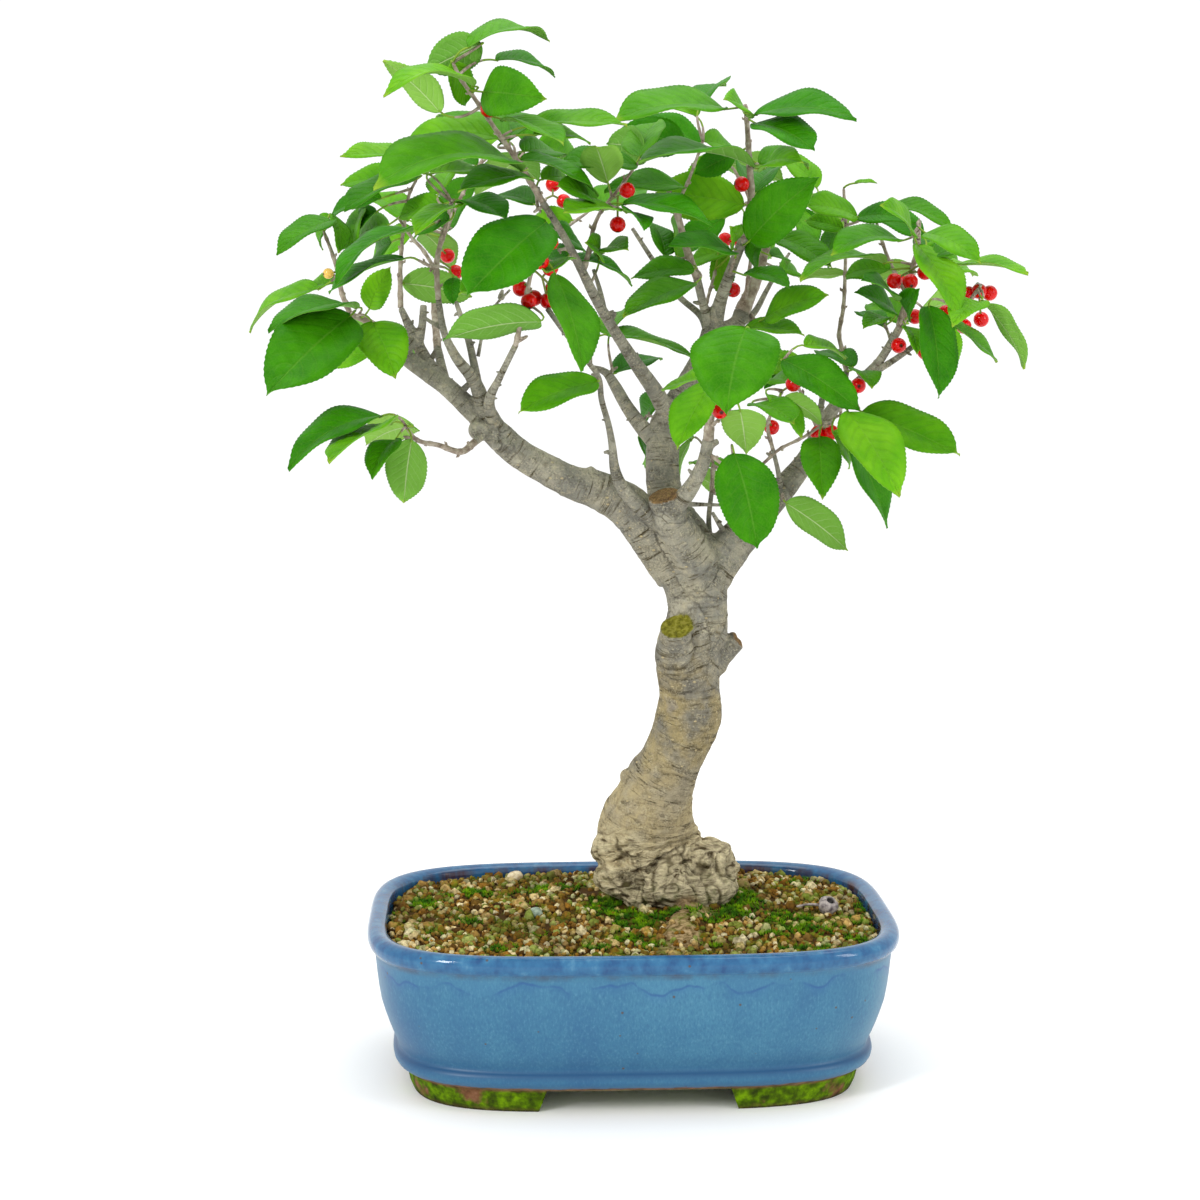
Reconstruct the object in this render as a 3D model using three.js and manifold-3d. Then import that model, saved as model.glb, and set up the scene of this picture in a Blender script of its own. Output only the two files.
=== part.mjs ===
// Japanese winterberry bonsai in a glazed oval pot: millimetres, +Z up.
// The origin is under the middle of the pot, on the surface that its feet stand on.
import * as THREE from "three";
import { mergeVertices } from "three/addons/utils/BufferGeometryUtils.js";
import Module from "manifold-3d";

const wasm = await Module();
wasm.setup();

// Driving dimensions
const rimHalfLength = 100;
const rimHalfDepth = 73.6;
const rimHeight = 61.9;
const planPower = 3.9;
const planSteps = 28;
const footHeight = 9;
const footInset = 15.75;
const footThickness = 13;
const frontFootGap = 70;
const sideFootGap = 44;
const footSlant = 6;
const footTaper = 2.6;
const footRoot = 2;
const footFillet = 0.5;
const drainHoleRadius = 7;
const drainHoleOffset = 42;
const screenSize = 26;
const screenThickness = 1;
const screenHoleSize = 3;
const innerFloor = 15;
const soilLevel = 57.6;
const soilMound = 4.5;
const grainRelief = 0.9;
const clearance = 0.3;
const bladeThickness = 0.8;
const bladeFold = 0.26;
const bladeSlenderness = 0.52;
const bladeFullness = 2.618;
const stalkRadius = 0.5;
const stalkRun = 6;
const berryRadius = 2.95;
const berryStalk = 0.5;

// The crown is set out on the upright plane through the middle of the pot, as seen from a
// standpoint in front; a third value moves a point back (+) or forward (-) along its sight line.
const standpoint = new THREE.Vector3(-53.53, -898.41, 299.94);

function place(x, z, depth) {
  const reach = (depth - standpoint.y) / -standpoint.y;
  return new THREE.Vector3(
    standpoint.x + (x - standpoint.x) * reach,
    depth,
    standpoint.z + (z - standpoint.z) * reach,
  );
}

// Closed meshes as solids
function solidFrom(positions, triangles) {
  const geometry = new THREE.BufferGeometry();
  geometry.setAttribute("position", new THREE.Float32BufferAttribute(positions, 3));
  geometry.setIndex(triangles);
  const merged = mergeVertices(geometry, 1e-4);
  return new wasm.Manifold(new wasm.Mesh({
    numProp: 3,
    vertProperties: Float32Array.from(merged.attributes.position.array),
    triVerts: Uint32Array.from(merged.index.array),
  }));
}

function solidOf(geometry) {
  const plain = geometry.clone();
  plain.deleteAttribute("normal");
  plain.deleteAttribute("uv");
  const merged = mergeVertices(plain, 1e-4);
  return new wasm.Manifold(new wasm.Mesh({
    numProp: 3,
    vertProperties: Float32Array.from(merged.attributes.position.array),
    triVerts: Uint32Array.from(merged.index.array),
  }));
}

function joined(solids) {
  return wasm.Manifold.union(solids);
}

function largestPiece(solid) {
  const pieces = solid.decompose();
  pieces.sort((a, b) => b.volume() - a.volume());
  return pieces[0];
}

// Rings of equal count, joined into one closed skin
function skin(rings) {
  const count = rings[0].length;
  const positions = [];
  const triangles = [];
  for (const ring of rings) {
    for (const point of ring) positions.push(point.x, point.y, point.z);
  }
  for (let i = 0; i < rings.length - 1; i += 1) {
    for (let j = 0; j < count; j += 1) {
      const a = i * count + j;
      const b = i * count + (j + 1) % count;
      triangles.push(a, b, b + count, a, b + count, a + count);
    }
  }
  const last = (rings.length - 1) * count;
  for (let j = 1; j < count - 1; j += 1) {
    triangles.push(0, j + 1, j, last, last + j, last + j + 1);
  }
  return solidFrom(positions, triangles);
}

// A limb: stations hold a centre, a radius to the side and a radius to the front.
// A grown limb is thicker all round and longer at both ends.
function limb(stations, sides, grow = 0) {
  const rings = [];
  const side = new THREE.Vector3(1, 0, 0);
  const last = stations.length - 1;
  stations.forEach((station, i) => {
    const before = stations[Math.max(i - 1, 0)].centre;
    const after = stations[Math.min(i + 1, last)].centre;
    const along = after.clone().sub(before).normalize();
    if (i === 0 && Math.abs(along.x) > 0.9) side.set(0, 0, 1);
    side.addScaledVector(along, -side.dot(along)).normalize();
    const front = along.clone().cross(side);
    const centre = station.centre.clone();
    if (i === 0) centre.addScaledVector(along, -grow);
    if (i === last) centre.addScaledVector(along, grow);
    const ring = [];
    for (let j = 0; j < sides; j += 1) {
      const turn = (j / sides) * 2 * Math.PI;
      ring.push(centre.clone()
        .addScaledVector(side, (station.wide + grow) * Math.cos(turn))
        .addScaledVector(front, (station.deep + grow) * Math.sin(turn)));
    }
    rings.push(ring);
  });
  return skin(rings);
}

function sidesFor(radius) {
  return radius > 3.2 ? 6 : 4;
}

// A branch: x, height, depth and radius at each bend
function branch(points, grow = 0) {
  const stations = points.map(([x, z, depth, radius]) => (
    { centre: place(x, z, depth), wide: radius, deep: radius }));
  return limb(stations, sidesFor(points[0][3]), grow);
}

function lump([x, z, depth], [wide, deep, tall], grow = 0) {
  const ball = new THREE.SphereGeometry(1, 7, 5);
  ball.rotateX(Math.PI / 2);
  ball.scale(wide + grow, deep + grow, tall + grow);
  const centre = place(x, z, depth);
  ball.translate(centre.x, centre.y, centre.z);
  return solidOf(ball);
}

// Wood
// Trunk stations: x, height, depth, half width, half depth
const trunkStations = [
  [16, 40, 20, 13, 12],
  [15.5, 55, 20, 20, 18],
  [15, 63, 20, 24, 21],
  [15, 69, 20, 27, 23],
  [14, 75.5, 20, 28, 24],
  [12.7, 81, 19, 27, 23],
  [10.5, 86.5, 18, 22.5, 20],
  [8, 92, 17, 18.8, 17],
  [9, 99, 16, 15.4, 15],
  [11, 109, 14, 13.6, 13.5],
  [15.5, 118, 12, 12, 12],
  [19.8, 128, 11, 12.4, 12],
  [22.3, 136, 10, 12.9, 12.4],
  [22.4, 146, 9, 11.8, 12],
  [22, 155, 8, 12.2, 12],
  [22.8, 163, 7, 12.8, 12.4],
  [25, 170, 6, 12.2, 12],
  [25.5, 177, 6, 11, 11.3],
  [24.8, 184, 5, 11.8, 11.5],
  [24, 190.5, 5, 13.6, 12],
  [23, 197, 5, 14.5, 11],
  [21, 203, 6, 10, 8],
];

// Swellings of the root base: centre, then half sizes across, in depth and upright
const burls = [
  [[-4, 84, 15], [11, 12, 9]],
  [[-2, 73, 8], [13, 12, 9]],
  [[31, 77, 18], [14, 15, 10]],
  [[14, 70, 3], [15, 10, 9]],
  [[30, 68, 8], [13, 12, 8]],
  [[12, 70, 38], [18, 12, 9]],
  [[18, 160, -1], [8.5, 7, 11]],
];

// Limbs and branches: x, height, depth and radius at each bend
const branches = [
  // main limb to the left
  [
    [18, 190, 5, 9], [12, 199, 4, 9], [5, 209, 3, 8.8], [-3, 217, 2, 8.2], [-13, 222, 1, 7.3],
    [-22, 225, -1, 6.3], [-32, 230, -2, 5.8], [-42, 236, -3, 5.6], [-49, 242, -4, 5.4],
    [-56, 249, -5, 4.6], [-62.5, 255, -6, 4.2], [-69, 261, -7, 4], [-76, 266, -8, 3.9],
    [-84, 272, -9, 3.4], [-91, 280, -13, 2.5],
  ],
  // middle limb at the back
  [
    [24, 194, 8, 10], [21, 204, 11, 9], [15, 214, 14, 7.6], [12, 226, 16, 6.6], [12, 238, 18, 6.4],
    [13, 246, 20, 6], [17, 254, 22, 5.2], [23, 264, 24, 4.6], [28, 274, 26, 4.4], [31, 283, 28, 4],
  ],
  // short limb in front, sawn off
  [[25, 194, -1, 9], [20, 203, -6, 7.4], [15, 212, -10, 6.6], [12.5, 220, -13, 6.2]],
  // limb to the right
  [
    [29, 189, 4, 9], [36, 198, 5, 8], [44, 207, 6, 6.8], [52, 216, 8, 5.6], [60, 225, 10, 4.7],
    [66, 233, 12, 4], [71, 243, 14, 3.6], [76, 252, 15, 3.3], [83, 260, 15, 3], [91, 267, 14, 2.8],
    [96, 274, 12, 2.5], [101, 283, 9, 2.3],
  ],
  // sawn stubs on the trunk
  [[32, 157, 8, 5.4], [36.5, 161, 8, 4.4], [40.5, 164.5, 8, 3.8]],
  [[19, 156, 2, 8.5], [18.4, 163, -2, 7.2], [17.6, 170, -7, 6.4]],
  // root that runs forward under the soil
  [[16, 66, 6, 6], [18, 62.5, -8, 4.6], [18.5, 58, -20, 3.4]],
  // stems of the left crown, with their forks and stubs
  [[-70, 262, -6, 3], [-76, 270, -2, 2.8], [-81, 280, 2, 2.4], [-85.5, 290, 5, 1.7]],
  [[-79, 276, 0, 2.2], [-77.5, 284, 2, 2], [-77, 291, 3, 1.9]],
  [
    [-50, 244, -4, 4], [-55, 254, -8, 3.2], [-58.5, 263, -12, 2.7], [-65, 271.5, -16, 2.3],
    [-69.5, 281, -20, 1.9], [-71.5, 293, -22, 1.7],
  ],
  [[-57, 259, -10, 2.4], [-58.5, 269, -4, 2], [-61, 280, 2, 1.8], [-65, 292, 8, 1.3]],
  [[-51, 246, -6, 3], [-53, 255, -14, 2.4], [-49, 264, -22, 1.8], [-43, 276, -32, 1.6]],
  [[-64, 258, -6, 2], [-60, 262, -9, 1.6], [-57, 263.5, -12, 1.5]],
  [[-57, 272, -1, 1.2], [-55, 281, -2, 0.9], [-51, 290, -4, 0.8], [-45, 296.5, -6, 0.7]],
  [[-53, 245, -6, 2.6], [-58.5, 240, -14, 2]],
  // the forked twig in front of the middle
  [
    [16, 206, -5, 4.6], [8, 212, -9, 3.6], [2, 217, -11, 3], [-3.5, 223.5, -13, 2.7],
    [-6, 230, -15, 2.3], [-7, 239, -18, 1.9], [-8.5, 247, -21, 1.7], [-11, 256, -25, 1.6],
    [-12, 264, -28, 1.5], [-17, 271, -32, 1.4], [-25, 281, -37, 1.3], [-31, 289.5, -41, 1.5],
  ],
  // dark fork and long stem from the middle limb
  [
    [10, 239, 18, 3.6], [3, 247, 20, 3], [-2, 254, 24, 2.7], [-6, 261, 28, 2.5], [-9.5, 266, 31, 2],
    [-15, 268, 35, 1.4],
  ],
  [
    [14, 250, 19, 3.8], [9, 259, 14, 3.2], [2, 269, 8, 2.8], [-4, 278, 2, 2.5], [-9, 286, -5, 2.4],
    [-14, 295, -13, 2.3], [-19.5, 306, -22, 2.1], [-26, 318, -30, 1.9], [-33, 329, -38, 1.8],
  ],
  // stems of the upper crown
  [[31, 281, 28, 3.4], [33, 291, 24, 2.8], [37, 303, 18, 2.4], [42, 316, 12, 2.3]],
  [[30, 281, 29, 2.6], [27, 291, 25, 2.2], [24.5, 301, 20, 2.1]],
  [
    [29, 281, 30, 2.4], [26, 287, 36, 1.9], [18, 294, 43, 1.7], [8.5, 307, 52, 1.5],
    [0.5, 319, 58, 1.2],
  ],
  [[31, 280, 30, 3.4], [39.5, 284, 32, 3.2], [41.5, 288.5, 33, 3.2]],
  [
    [40, 283.5, 33, 2.2], [46, 288, 38, 1.8], [50.5, 296, 44, 1.5], [55, 304, 50, 1.2],
    [59, 310, 54, 0.9],
  ],
  // right crown
  [[90, 265, 14, 2], [99, 270.5, 10, 1.7], [106, 275.5, 6, 1.6]],
  [[79, 256, 15, 1.8], [81, 266, 21, 1.6]],
  // thin twigs under the right crown
  [[30, 202, 10, 1.8], [29.5, 211, 14, 1.5], [30.5, 221, 16, 1.4]],
  [[57, 220, 8, 2], [55.5, 229, 0, 1.4], [53.5, 237, -5, 1.3]],
  [
    [13.5, 213, -10, 4.4], [18.5, 217.5, -15, 3.6], [23.5, 224, -20, 3], [27.5, 232.5, -25, 2.7],
    [29.2, 241, -29, 2.5],
  ],
  [[18, 216.5, -13, 1.8], [27, 216.3, -8, 1.2], [36, 216, -3, 0.9]],
  [[38, 202, 6, 1.9], [34, 208, 1, 1.5], [31, 213, -4, 1.1]],
  // stems that carry the back of the crown
  [[-69, 261, -5, 2.4], [-72, 275, 14, 2.1]],
  [[-2, 275, 4, 2.2], [-9, 286, 16, 2], [-14, 295, 28, 1.9]],
  [[31, 282, 32, 2.2], [33, 291, 44, 2.1]],
  [[41, 286, 36, 2], [44, 294, 48, 1.8]],
  [[84, 261, 17, 2], [91, 268, 30, 1.9]],
  [[70, 243, 14, 2], [72, 256, 32, 1.8]],
  [[-84, 272, -7, 2], [-92, 276, 10, 1.7]],
];

function woodSolid(grow) {
  const trunk = limb(trunkStations.map(([x, z, depth, wide, deep]) => (
    { centre: place(x, z, depth), wide, deep })), 12, grow);
  return joined([
    trunk,
    ...burls.map(([centre, halfSizes]) => lump(centre, halfSizes, grow)),
    ...branches.map((points) => branch(points, grow)),
  ]);
}

// Leaves
// Edge stations of each half: share of the blade's length, share of the full half width.
// The step back after a tooth cuts the edge.
const bladeEdges = [
  [[0.2, 0.98], [0.53, 1.06], [0.59, 0.86]],
  [[0.3, 1.04], [0.36, 0.88], [0.7, 1.08]],
];
const bladeRib = 0.45;

function bladeOutline(s) {
  return bladeFullness * s ** 0.55 * (1 - s) ** 0.9;
}

// A leaf entry: base x, height, depth; tip x, height, depth; width seen from the standpoint
// (negative where the underside is seen); rise of the arched midrib
function bladeFrame([x0, z0, depth0, x1, z1, depth1, seen, arch = 2]) {
  const base = place(x0, z0, depth0);
  const tip = place(x1, z1, depth1);
  const along = tip.clone().sub(base);
  const length = along.length();
  along.normalize();
  const width = Math.max(bladeSlenderness * length, Math.abs(seen) * 1.02);
  const toViewer = standpoint.clone().sub(base).normalize();
  toViewer.addScaledVector(along, -toViewer.dot(along)).normalize();
  const level = along.clone().cross(toViewer);
  if (level.z < 0) level.negate();
  const turn = Math.asin(seen / width);
  const normal = level.multiplyScalar(Math.cos(turn)).addScaledVector(toViewer, Math.sin(turn));
  const side = normal.clone().cross(along);
  return { base, along, length, width, normal, side, arch };
}

function bladePoint(frame, s, u) {
  const half = 0.5 * frame.width * bladeOutline(s) * Math.abs(u);
  return frame.base.clone()
    .addScaledVector(frame.along, frame.length * s)
    .addScaledVector(frame.side, Math.sign(u) * half * Math.cos(bladeFold))
    .addScaledVector(frame.normal, frame.arch * 4 * s * (1 - s) + half * Math.sin(bladeFold));
}

function nearestOn(lines, target) {
  let best = null;
  for (const line of lines) {
    for (let i = 0; i < line.length - 1; i += 1) {
      const spot = new THREE.Line3(line[i], line[i + 1])
        .closestPointToPoint(target, true, new THREE.Vector3());
      if (!best || spot.distanceTo(target) < best.distanceTo(target)) best = spot;
    }
  }
  return best;
}

// A leaf is one thin body: a stalk with its foot inside the stem, then the folded blade.
// Each point is a pair, one on the upper face and one on the lower.
function leafSolid(entry, lines) {
  const frame = bladeFrame(entry);
  const foot = nearestOn(lines, frame.base.clone().addScaledVector(frame.along, -stalkRun));
  const stalk = frame.base.clone().sub(foot).normalize();
  const positions = [];
  const triangles = [];
  const addPair = (point, normal) => {
    for (const lift of [bladeThickness / 2, -bladeThickness / 2]) {
      positions.push(
        point.x + normal.x * lift,
        point.y + normal.y * lift,
        point.z + normal.z * lift,
      );
    }
    return positions.length / 3 - 2;
  };
  const addFace = (a, b, c) => triangles.push(a, b, c, c + 1, b + 1, a + 1);
  const addRim = (a, b) => triangles.push(b, a, a + 1, b, a + 1, b + 1);
  const footNormal = frame.normal.clone().addScaledVector(stalk, -frame.normal.dot(stalk));
  if (footNormal.length() < 0.3) footNormal.copy(frame.side).cross(stalk);
  footNormal.normalize();
  const footSide = footNormal.clone().cross(stalk);
  const feet = [stalkRadius, -stalkRadius].map((reach) => (
    addPair(foot.clone().addScaledVector(footSide, reach), footNormal)));
  const necks = [stalkRadius, -stalkRadius].map((reach) => (
    addPair(frame.base.clone().addScaledVector(frame.side, reach), frame.normal)));
  const rib = addPair(bladePoint(frame, bladeRib, 0), frame.normal);
  const tip = addPair(bladePoint(frame, 1, 0), frame.normal);
  addFace(feet[0], feet[1], necks[1]);
  addFace(feet[0], necks[1], necks[0]);
  addFace(necks[0], necks[1], rib);
  addRim(feet[0], feet[1]);
  bladeEdges.forEach((stations, which) => {
    const hand = which === 0 ? 1 : -1;
    const face = hand > 0 ? addFace : (a, b, c) => addFace(a, c, b);
    const rim = hand > 0 ? addRim : (a, b) => addRim(b, a);
    const edge = [
      necks[which],
      ...stations.map(([s, share]) => addPair(bladePoint(frame, s, hand * share), frame.normal)),
      tip,
    ];
    rim(edge[0], feet[which]);
    for (let k = 0; k < edge.length - 1; k += 1) {
      face(edge[k], rib, edge[k + 1]);
      rim(edge[k + 1], edge[k]);
    }
  });
  return solidFrom(positions, triangles);
}

// A spray: stems as branches, and leaves whose stalks grow from the nearest stem
function spraySolid({ stems, leaves }) {
  const lines = stems.map((stem) => stem.map(([x, z, depth]) => place(x, z, depth)));
  return joined([
    ...stems.map((stem) => branch(stem)),
    ...leaves.map((leaf) => leafSolid(leaf, lines)),
  ]);
}

const sprays = [
  // upper part of the long stem
  {
    stems: [
      [
        [-33, 329, -38, 1.7], [-41, 342, -46, 1.5], [-50, 355, -52, 1.3], [-57.5, 366, -57, 1.2],
        [-62.5, 373, -60, 1.1], [-65.5, 379, -62, 1],
      ],
    ],
    leaves: [
      [-60, 384.5, -64, -30, 387, -46, 3, 5], [-70, 361, -56, -91, 379.5, -62, -10],
      [-54.5, 368.5, -64, -31, 366, -84, 17], [-50, 380, -49, -28, 374, -36, 3, 2.5],
      [-48, 351.5, -44, -84, 349.5, -34, 9, 4], [-46, 351, -38, -72, 359, -14, 7, 3],
      [-40, 340, -56, -95, 334, -92, 12, 9], [-37, 337, -52, -64, 332, -72, 7, 3],
      [-47, 358.5, -60, -25, 349.5, -80, 5, 2], [-38, 356, -49, -1.5, 356.5, -52, 6, 2],
      [-40, 347, -32, -26, 345, -8, 5],
    ],
  },
  // fork between the long stem and the middle
  {
    stems: [
      [
        [-18, 303, -20, 1.7], [-15.5, 311, -19, 1.4], [-14, 319, -18, 1.2], [-11, 325.5, -16, 1.1],
        [-5, 333, -14, 1], [1, 341, -12, 0.9],
      ],
    ],
    leaves: [
      [3, 345, -9, 10, 358, 18, 12], [-8.7, 336, -26, -13, 349, -48, 13],
      [-3, 328, -33, 30.5, 320, -46, 7, 3], [-10.5, 310, -12, -1, 311, -34, 5],
      [-22, 307.5, -17, 0.5, 298, -8, 3, 3],
    ],
  },
  // end of the left limb and its outer twig
  {
    stems: [
      [[-91, 280, -13, 2.4], [-97, 284.5, -16, 1.9], [-104, 287.5, -20, 1.5]],
      [
        [-104, 287.5, -20, 1.5], [-107, 295, -16, 1.4], [-108.5, 303, -12, 1.3], [-110.5, 310, -8, 1.1],
        [-113.5, 318, -4, 0.9],
      ],
    ],
    leaves: [
      [-110, 322, -4, -131, 309.5, -22, 8], [-115, 297, -7, -141.5, 281, 8, 4, 4],
      [-103, 310, 0, -98, 328, 14, 6], [-104, 287, -34, -135.5, 257.5, -72, 25],
      [-96, 284.5, -29, -87.5, 264, -46, 18],
    ],
  },
  // top of the second stem on the left
  {
    stems: [
      [[-85.5, 290, 5, 1.6], [-85.5, 303, 8, 1.3], [-84.5, 317, 10, 1]],
      [[-84.5, 316, 10, 1.1], [-82, 331, 3, 0.95], [-79, 337, -2, 0.8]],
    ],
    leaves: [
      [-78, 338, -8, -106, 325.5, -26, 7], [-90, 320, 2, -104, 312, 26, 6],
      [-85, 299, 11, -59, 294, 6, -13], [-88.5, 314, 16, -94, 308, 40, 6],
    ],
  },
  // top of the third stem on the left
  {
    stems: [
      [
        [-71.5, 293, -22, 1.6], [-72, 305, -24, 1.4], [-70.5, 314, -26, 1.3], [-68, 322, -28, 1.1],
        [-66.5, 329, -30, 1],
      ],
      [[-72, 303, -23, 1.2], [-77, 311, -16, 1.1], [-81, 315.5, -10, 1], [-86, 323, -4, 0.9]],
      [[-72, 304, -24, 1.1], [-79, 307.5, -38, 0.8]],
    ],
    leaves: [
      [-77, 318.5, -42, -109.5, 299, -62, 5, 5], [-84, 308, -42, -112, 295.5, -56, 4, 2],
      [-62, 329, -40, -46, 322, -64, 8], [-71, 332, -16, -60, 345, 8, 5],
    ],
  },
  // front stem on the left, with its blunt side twig
  {
    stems: [
      [[-43, 276, -32, 1.5], [-40, 289, -40, 1.3], [-36.5, 306, -46, 1.1]],
      [[-43, 277, -32.5, 1.3], [-38.5, 279.5, -34, 1]],
      [[-36.5, 305, -46, 1.1], [-33, 317, -57, 0.8]],
    ],
    leaves: [
      [-31.5, 321.5, -60, -61, 294, -92, 23], [-42, 303, -52, -64, 295, -66, 6],
      [-28, 302, -55, -18, 266.5, -78, 14], [-33.5, 285, -47, -70, 278, -34, 11, 2],
    ],
  },
  // low shoot on the left
  {
    stems: [
      [
        [-58.5, 240, -14, 1.9], [-63.5, 236.5, -22, 1.7], [-72, 239, -32, 1.4], [-80, 241, -40, 1.2],
        [-84, 246, -44, 1],
      ],
      [[-80, 241, -40, 1], [-85, 242.3, -43, 0.8]],
    ],
    leaves: [
      [-93, 250, -52, -128, 230, -66, 10, 5], [-82, 241, -48, -85, 217.5, -66, -15],
    ],
  },
  // from the end of the forked twig in front
  {
    stems: [
      [[-12, 263.5, -28, 1.1], [-15, 260.5, -38, 0.8]],
    ],
    leaves: [
      [-12.5, 262.5, -36, -42, 251, -52, 12],
    ],
  },
  // from the dark fork in the middle
  {
    stems: [
      [[-9, 265, 30, 1.1], [-5, 268, 39, 0.8]],
    ],
    leaves: [
      [-6, 265.5, 40, 11, 271, 62, 7], [-8, 280, 38, -2, 289, 62, 8],
    ],
  },
  // from the middle limb
  {
    stems: [
      [[13, 248, 20, 1.1], [6, 250, 32, 0.8]],
    ],
    leaves: [
      [11, 257, 32, 4.5, 246, 52, 7], [3, 242, 36, 4.5, 231.5, 52, 3],
    ],
  },
  // on the long stem, lower part
  {
    stems: [
      [[-23, 312, -26, 1.1], [-27, 311, -14, 0.8]],
    ],
    leaves: [
      [-31, 318, -12, -17.5, 310.5, 8, 6], [-23, 309, -14, -37, 303, 4, 5],
    ],
  },
  // on the long stem, above
  {
    stems: [
      [[-33, 327, -37, 1.1], [-36, 325, -27, 0.8]],
    ],
    leaves: [
      [-36, 328, -24, -53, 329.5, -4, 5], [-33, 337, -26, -21, 335, -8, 5],
    ],
  },
  // upper crown, slender stem and its brown twig
  {
    stems: [
      [[24.5, 301, 20, 2], [20.5, 312, 14, 1.9], [17.5, 323, 10, 1.7], [13.5, 334, 6, 1.5]],
      [
        [18, 321, 11, 1.2], [18, 329, 14, 1.1], [21, 336, 17, 1], [24, 344, 20, 0.9],
        [26.5, 351, 22, 0.9],
      ],
    ],
    leaves: [
      [20, 349.5, 32, -5, 355, 40, 15], [20, 334, 16, -10, 332.5, 2, 8, 2],
      [23.5, 304, 12, 0, 300.5, 16, 8, 2], [24, 299, 6, -3, 286.5, -8, 10, 2],
      [12.5, 309, 22, 7, 321.5, 44, 8],
    ],
  },
  // upper crown, tallest stem
  {
    stems: [
      [
        [42, 316, 12, 2.2], [44.5, 329, 8, 1.9], [44, 341, 4, 1.7], [43.2, 352, 1, 1.5],
        [42.3, 364, -2, 1.3],
      ],
    ],
    leaves: [
      [45, 342, -10, 2.5, 342.5, -36, 3, 5], [49, 341, -8, 64, 343, -30, 7, 3],
      [47, 343, -2, 66, 341, 12, 5, 4], [34.5, 362.5, -12, -6.5, 358.5, -34, 10, 4],
      [45.5, 360.5, -14, 83.5, 359, -28, 9, 4], [46, 357.5, -14, 68, 347.5, -40, 10, 2],
      [42, 328, 20, 9, 332, 34, 19], [46, 332, 14, 54, 341, 36, 8], [44, 314.5, -6, 70, 338, -26, 19],
    ],
  },
  // side twig of the tallest stem
  {
    stems: [
      [[37, 302, 18, 1.1], [38.5, 308, 4, 0.8]],
    ],
    leaves: [
      [38.5, 310, 2, 14, 313, -18, 7, 2], [42, 302, 10, 59.5, 297, -4, 6, 3],
    ],
  },
  // behind the middle stems
  {
    stems: [
      [[27.5, 289, 26, 1.1], [31.5, 304, 38, 0.8]],
    ],
    leaves: [
      [37, 311, 38, 21, 306, 52, 8],
    ],
  },
  // stem right of the middle and its fork
  {
    stems: [
      [[41.5, 288.5, 33, 3.1], [44, 294, 34, 2.8], [48, 304, 37, 2.4], [51, 316, 40, 1.9]],
      [[42.5, 291, 33, 1.4], [44, 303, 28, 1.2], [45.5, 314, 24, 1]],
    ],
    leaves: [
      [54.5, 316, 25, 75, 304.5, 8, 10, 2],
    ],
  },
  // dark leaves in front of the middle stems
  {
    stems: [
      [[45, 287, 37, 1.1], [47.5, 284, 24, 0.8]],
    ],
    leaves: [
      [50, 286, 20, 74, 294.5, 2, 11],
    ],
  },
  // end of the bare front limb
  {
    stems: [
      [[29.2, 241, -29, 2.4], [30, 250, -33, 2], [32.5, 258, -38, 1.4]],
      [[29.5, 245, -31, 1.1], [37, 252, -50, 0.8]],
      [[37, 252, -50, 1.1], [45, 280, -82, 0.8]],
    ],
    leaves: [
      [30, 262, -47, 17.5, 237, -66, 14], [43, 282.5, -86, 36, 250, -106, 30],
    ],
  },
  // large leaf under the bare limb
  {
    stems: [
      [[30, 235, -27, 1.1], [36, 231, -34, 0.9], [38.5, 235.5, -40, 0.8]],
    ],
    leaves: [
      [39, 235.5, -54, 48, 199.5, -66, 22],
    ],
  },
  // grey twig under the right crown
  {
    stems: [
      [[53.5, 237, -5, 1.2], [51.5, 246, -9, 1.1], [54.5, 254, -14, 0.9], [57, 259, -18, 0.8]],
    ],
    leaves: [
      [46, 254, -28, 61.5, 246.5, -54, 8],
    ],
  },
  // brown twig under the right crown
  {
    stems: [
      [[30.5, 221, 16, 1.3], [31, 232, 18, 1.1]],
      [
        [30.5, 221, 16, 1.1], [40, 226, 8, 1], [49, 231, 0, 1], [56, 237, -6, 0.95],
        [65, 241.5, -12, 0.9], [72, 246, -16, 0.8], [79, 250, -20, 0.8],
      ],
      [[31, 231, 18, 1.1], [36.5, 228, 29, 0.8]],
    ],
    leaves: [
      [34, 220, 28, 24.5, 227, 50, -8], [23, 241, 34, 18.5, 226, 52, -5],
      [71, 241.5, -30, 72.5, 218, -48, 15], [82, 251, -34, 102, 219, -62, 19],
    ],
  },
  // low on the right limb
  {
    stems: [
      [[57, 221, 8, 1.1], [58, 217.5, -6, 0.8]],
    ],
    leaves: [
      [58.5, 217, -8, 82.5, 198.5, -22, 11],
    ],
  },
  // in front of the right limb's fork
  {
    stems: [
      [[82, 259, 15, 1.1], [86, 252, 2, 0.8]],
    ],
    leaves: [
      [87, 251, -2, 124.5, 234.5, -18, 15],
    ],
  },
  // hanging from the right limb
  {
    stems: [
      [[71, 243, 14, 1.1], [62, 262, -8, 0.95], [57, 270, -16, 0.8]],
    ],
    leaves: [
      [57, 270.5, -20, 86, 251.5, -36, 14], [60, 262, -4, 52, 262, 20, 5],
    ],
  },
  // upright stem of the right crown
  {
    stems: [
      [
        [81, 266, 21, 1.5], [79, 275, 25, 1.4], [78, 280, 27, 1.3], [79.5, 290, 29, 1.2],
        [80, 304, 31, 1.1], [80, 319, 33, 1], [79, 334, 35, 0.9],
      ],
    ],
    leaves: [
      [83, 268, 12, 70, 273, 36, 6, 2], [84, 323.5, 16, 64.5, 327.5, 2, 9],
    ],
  },
  // side shoot of the right limb
  {
    stems: [
      [[98, 277, 11, 1.1], [95, 284, 20, 0.8]],
    ],
    leaves: [
      [94.5, 283, 20, 84.5, 287.5, 38, 5], [99, 288, 14, 83.5, 295.5, -2, 7],
    ],
  },
  // end of the right limb and its fork
  {
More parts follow.
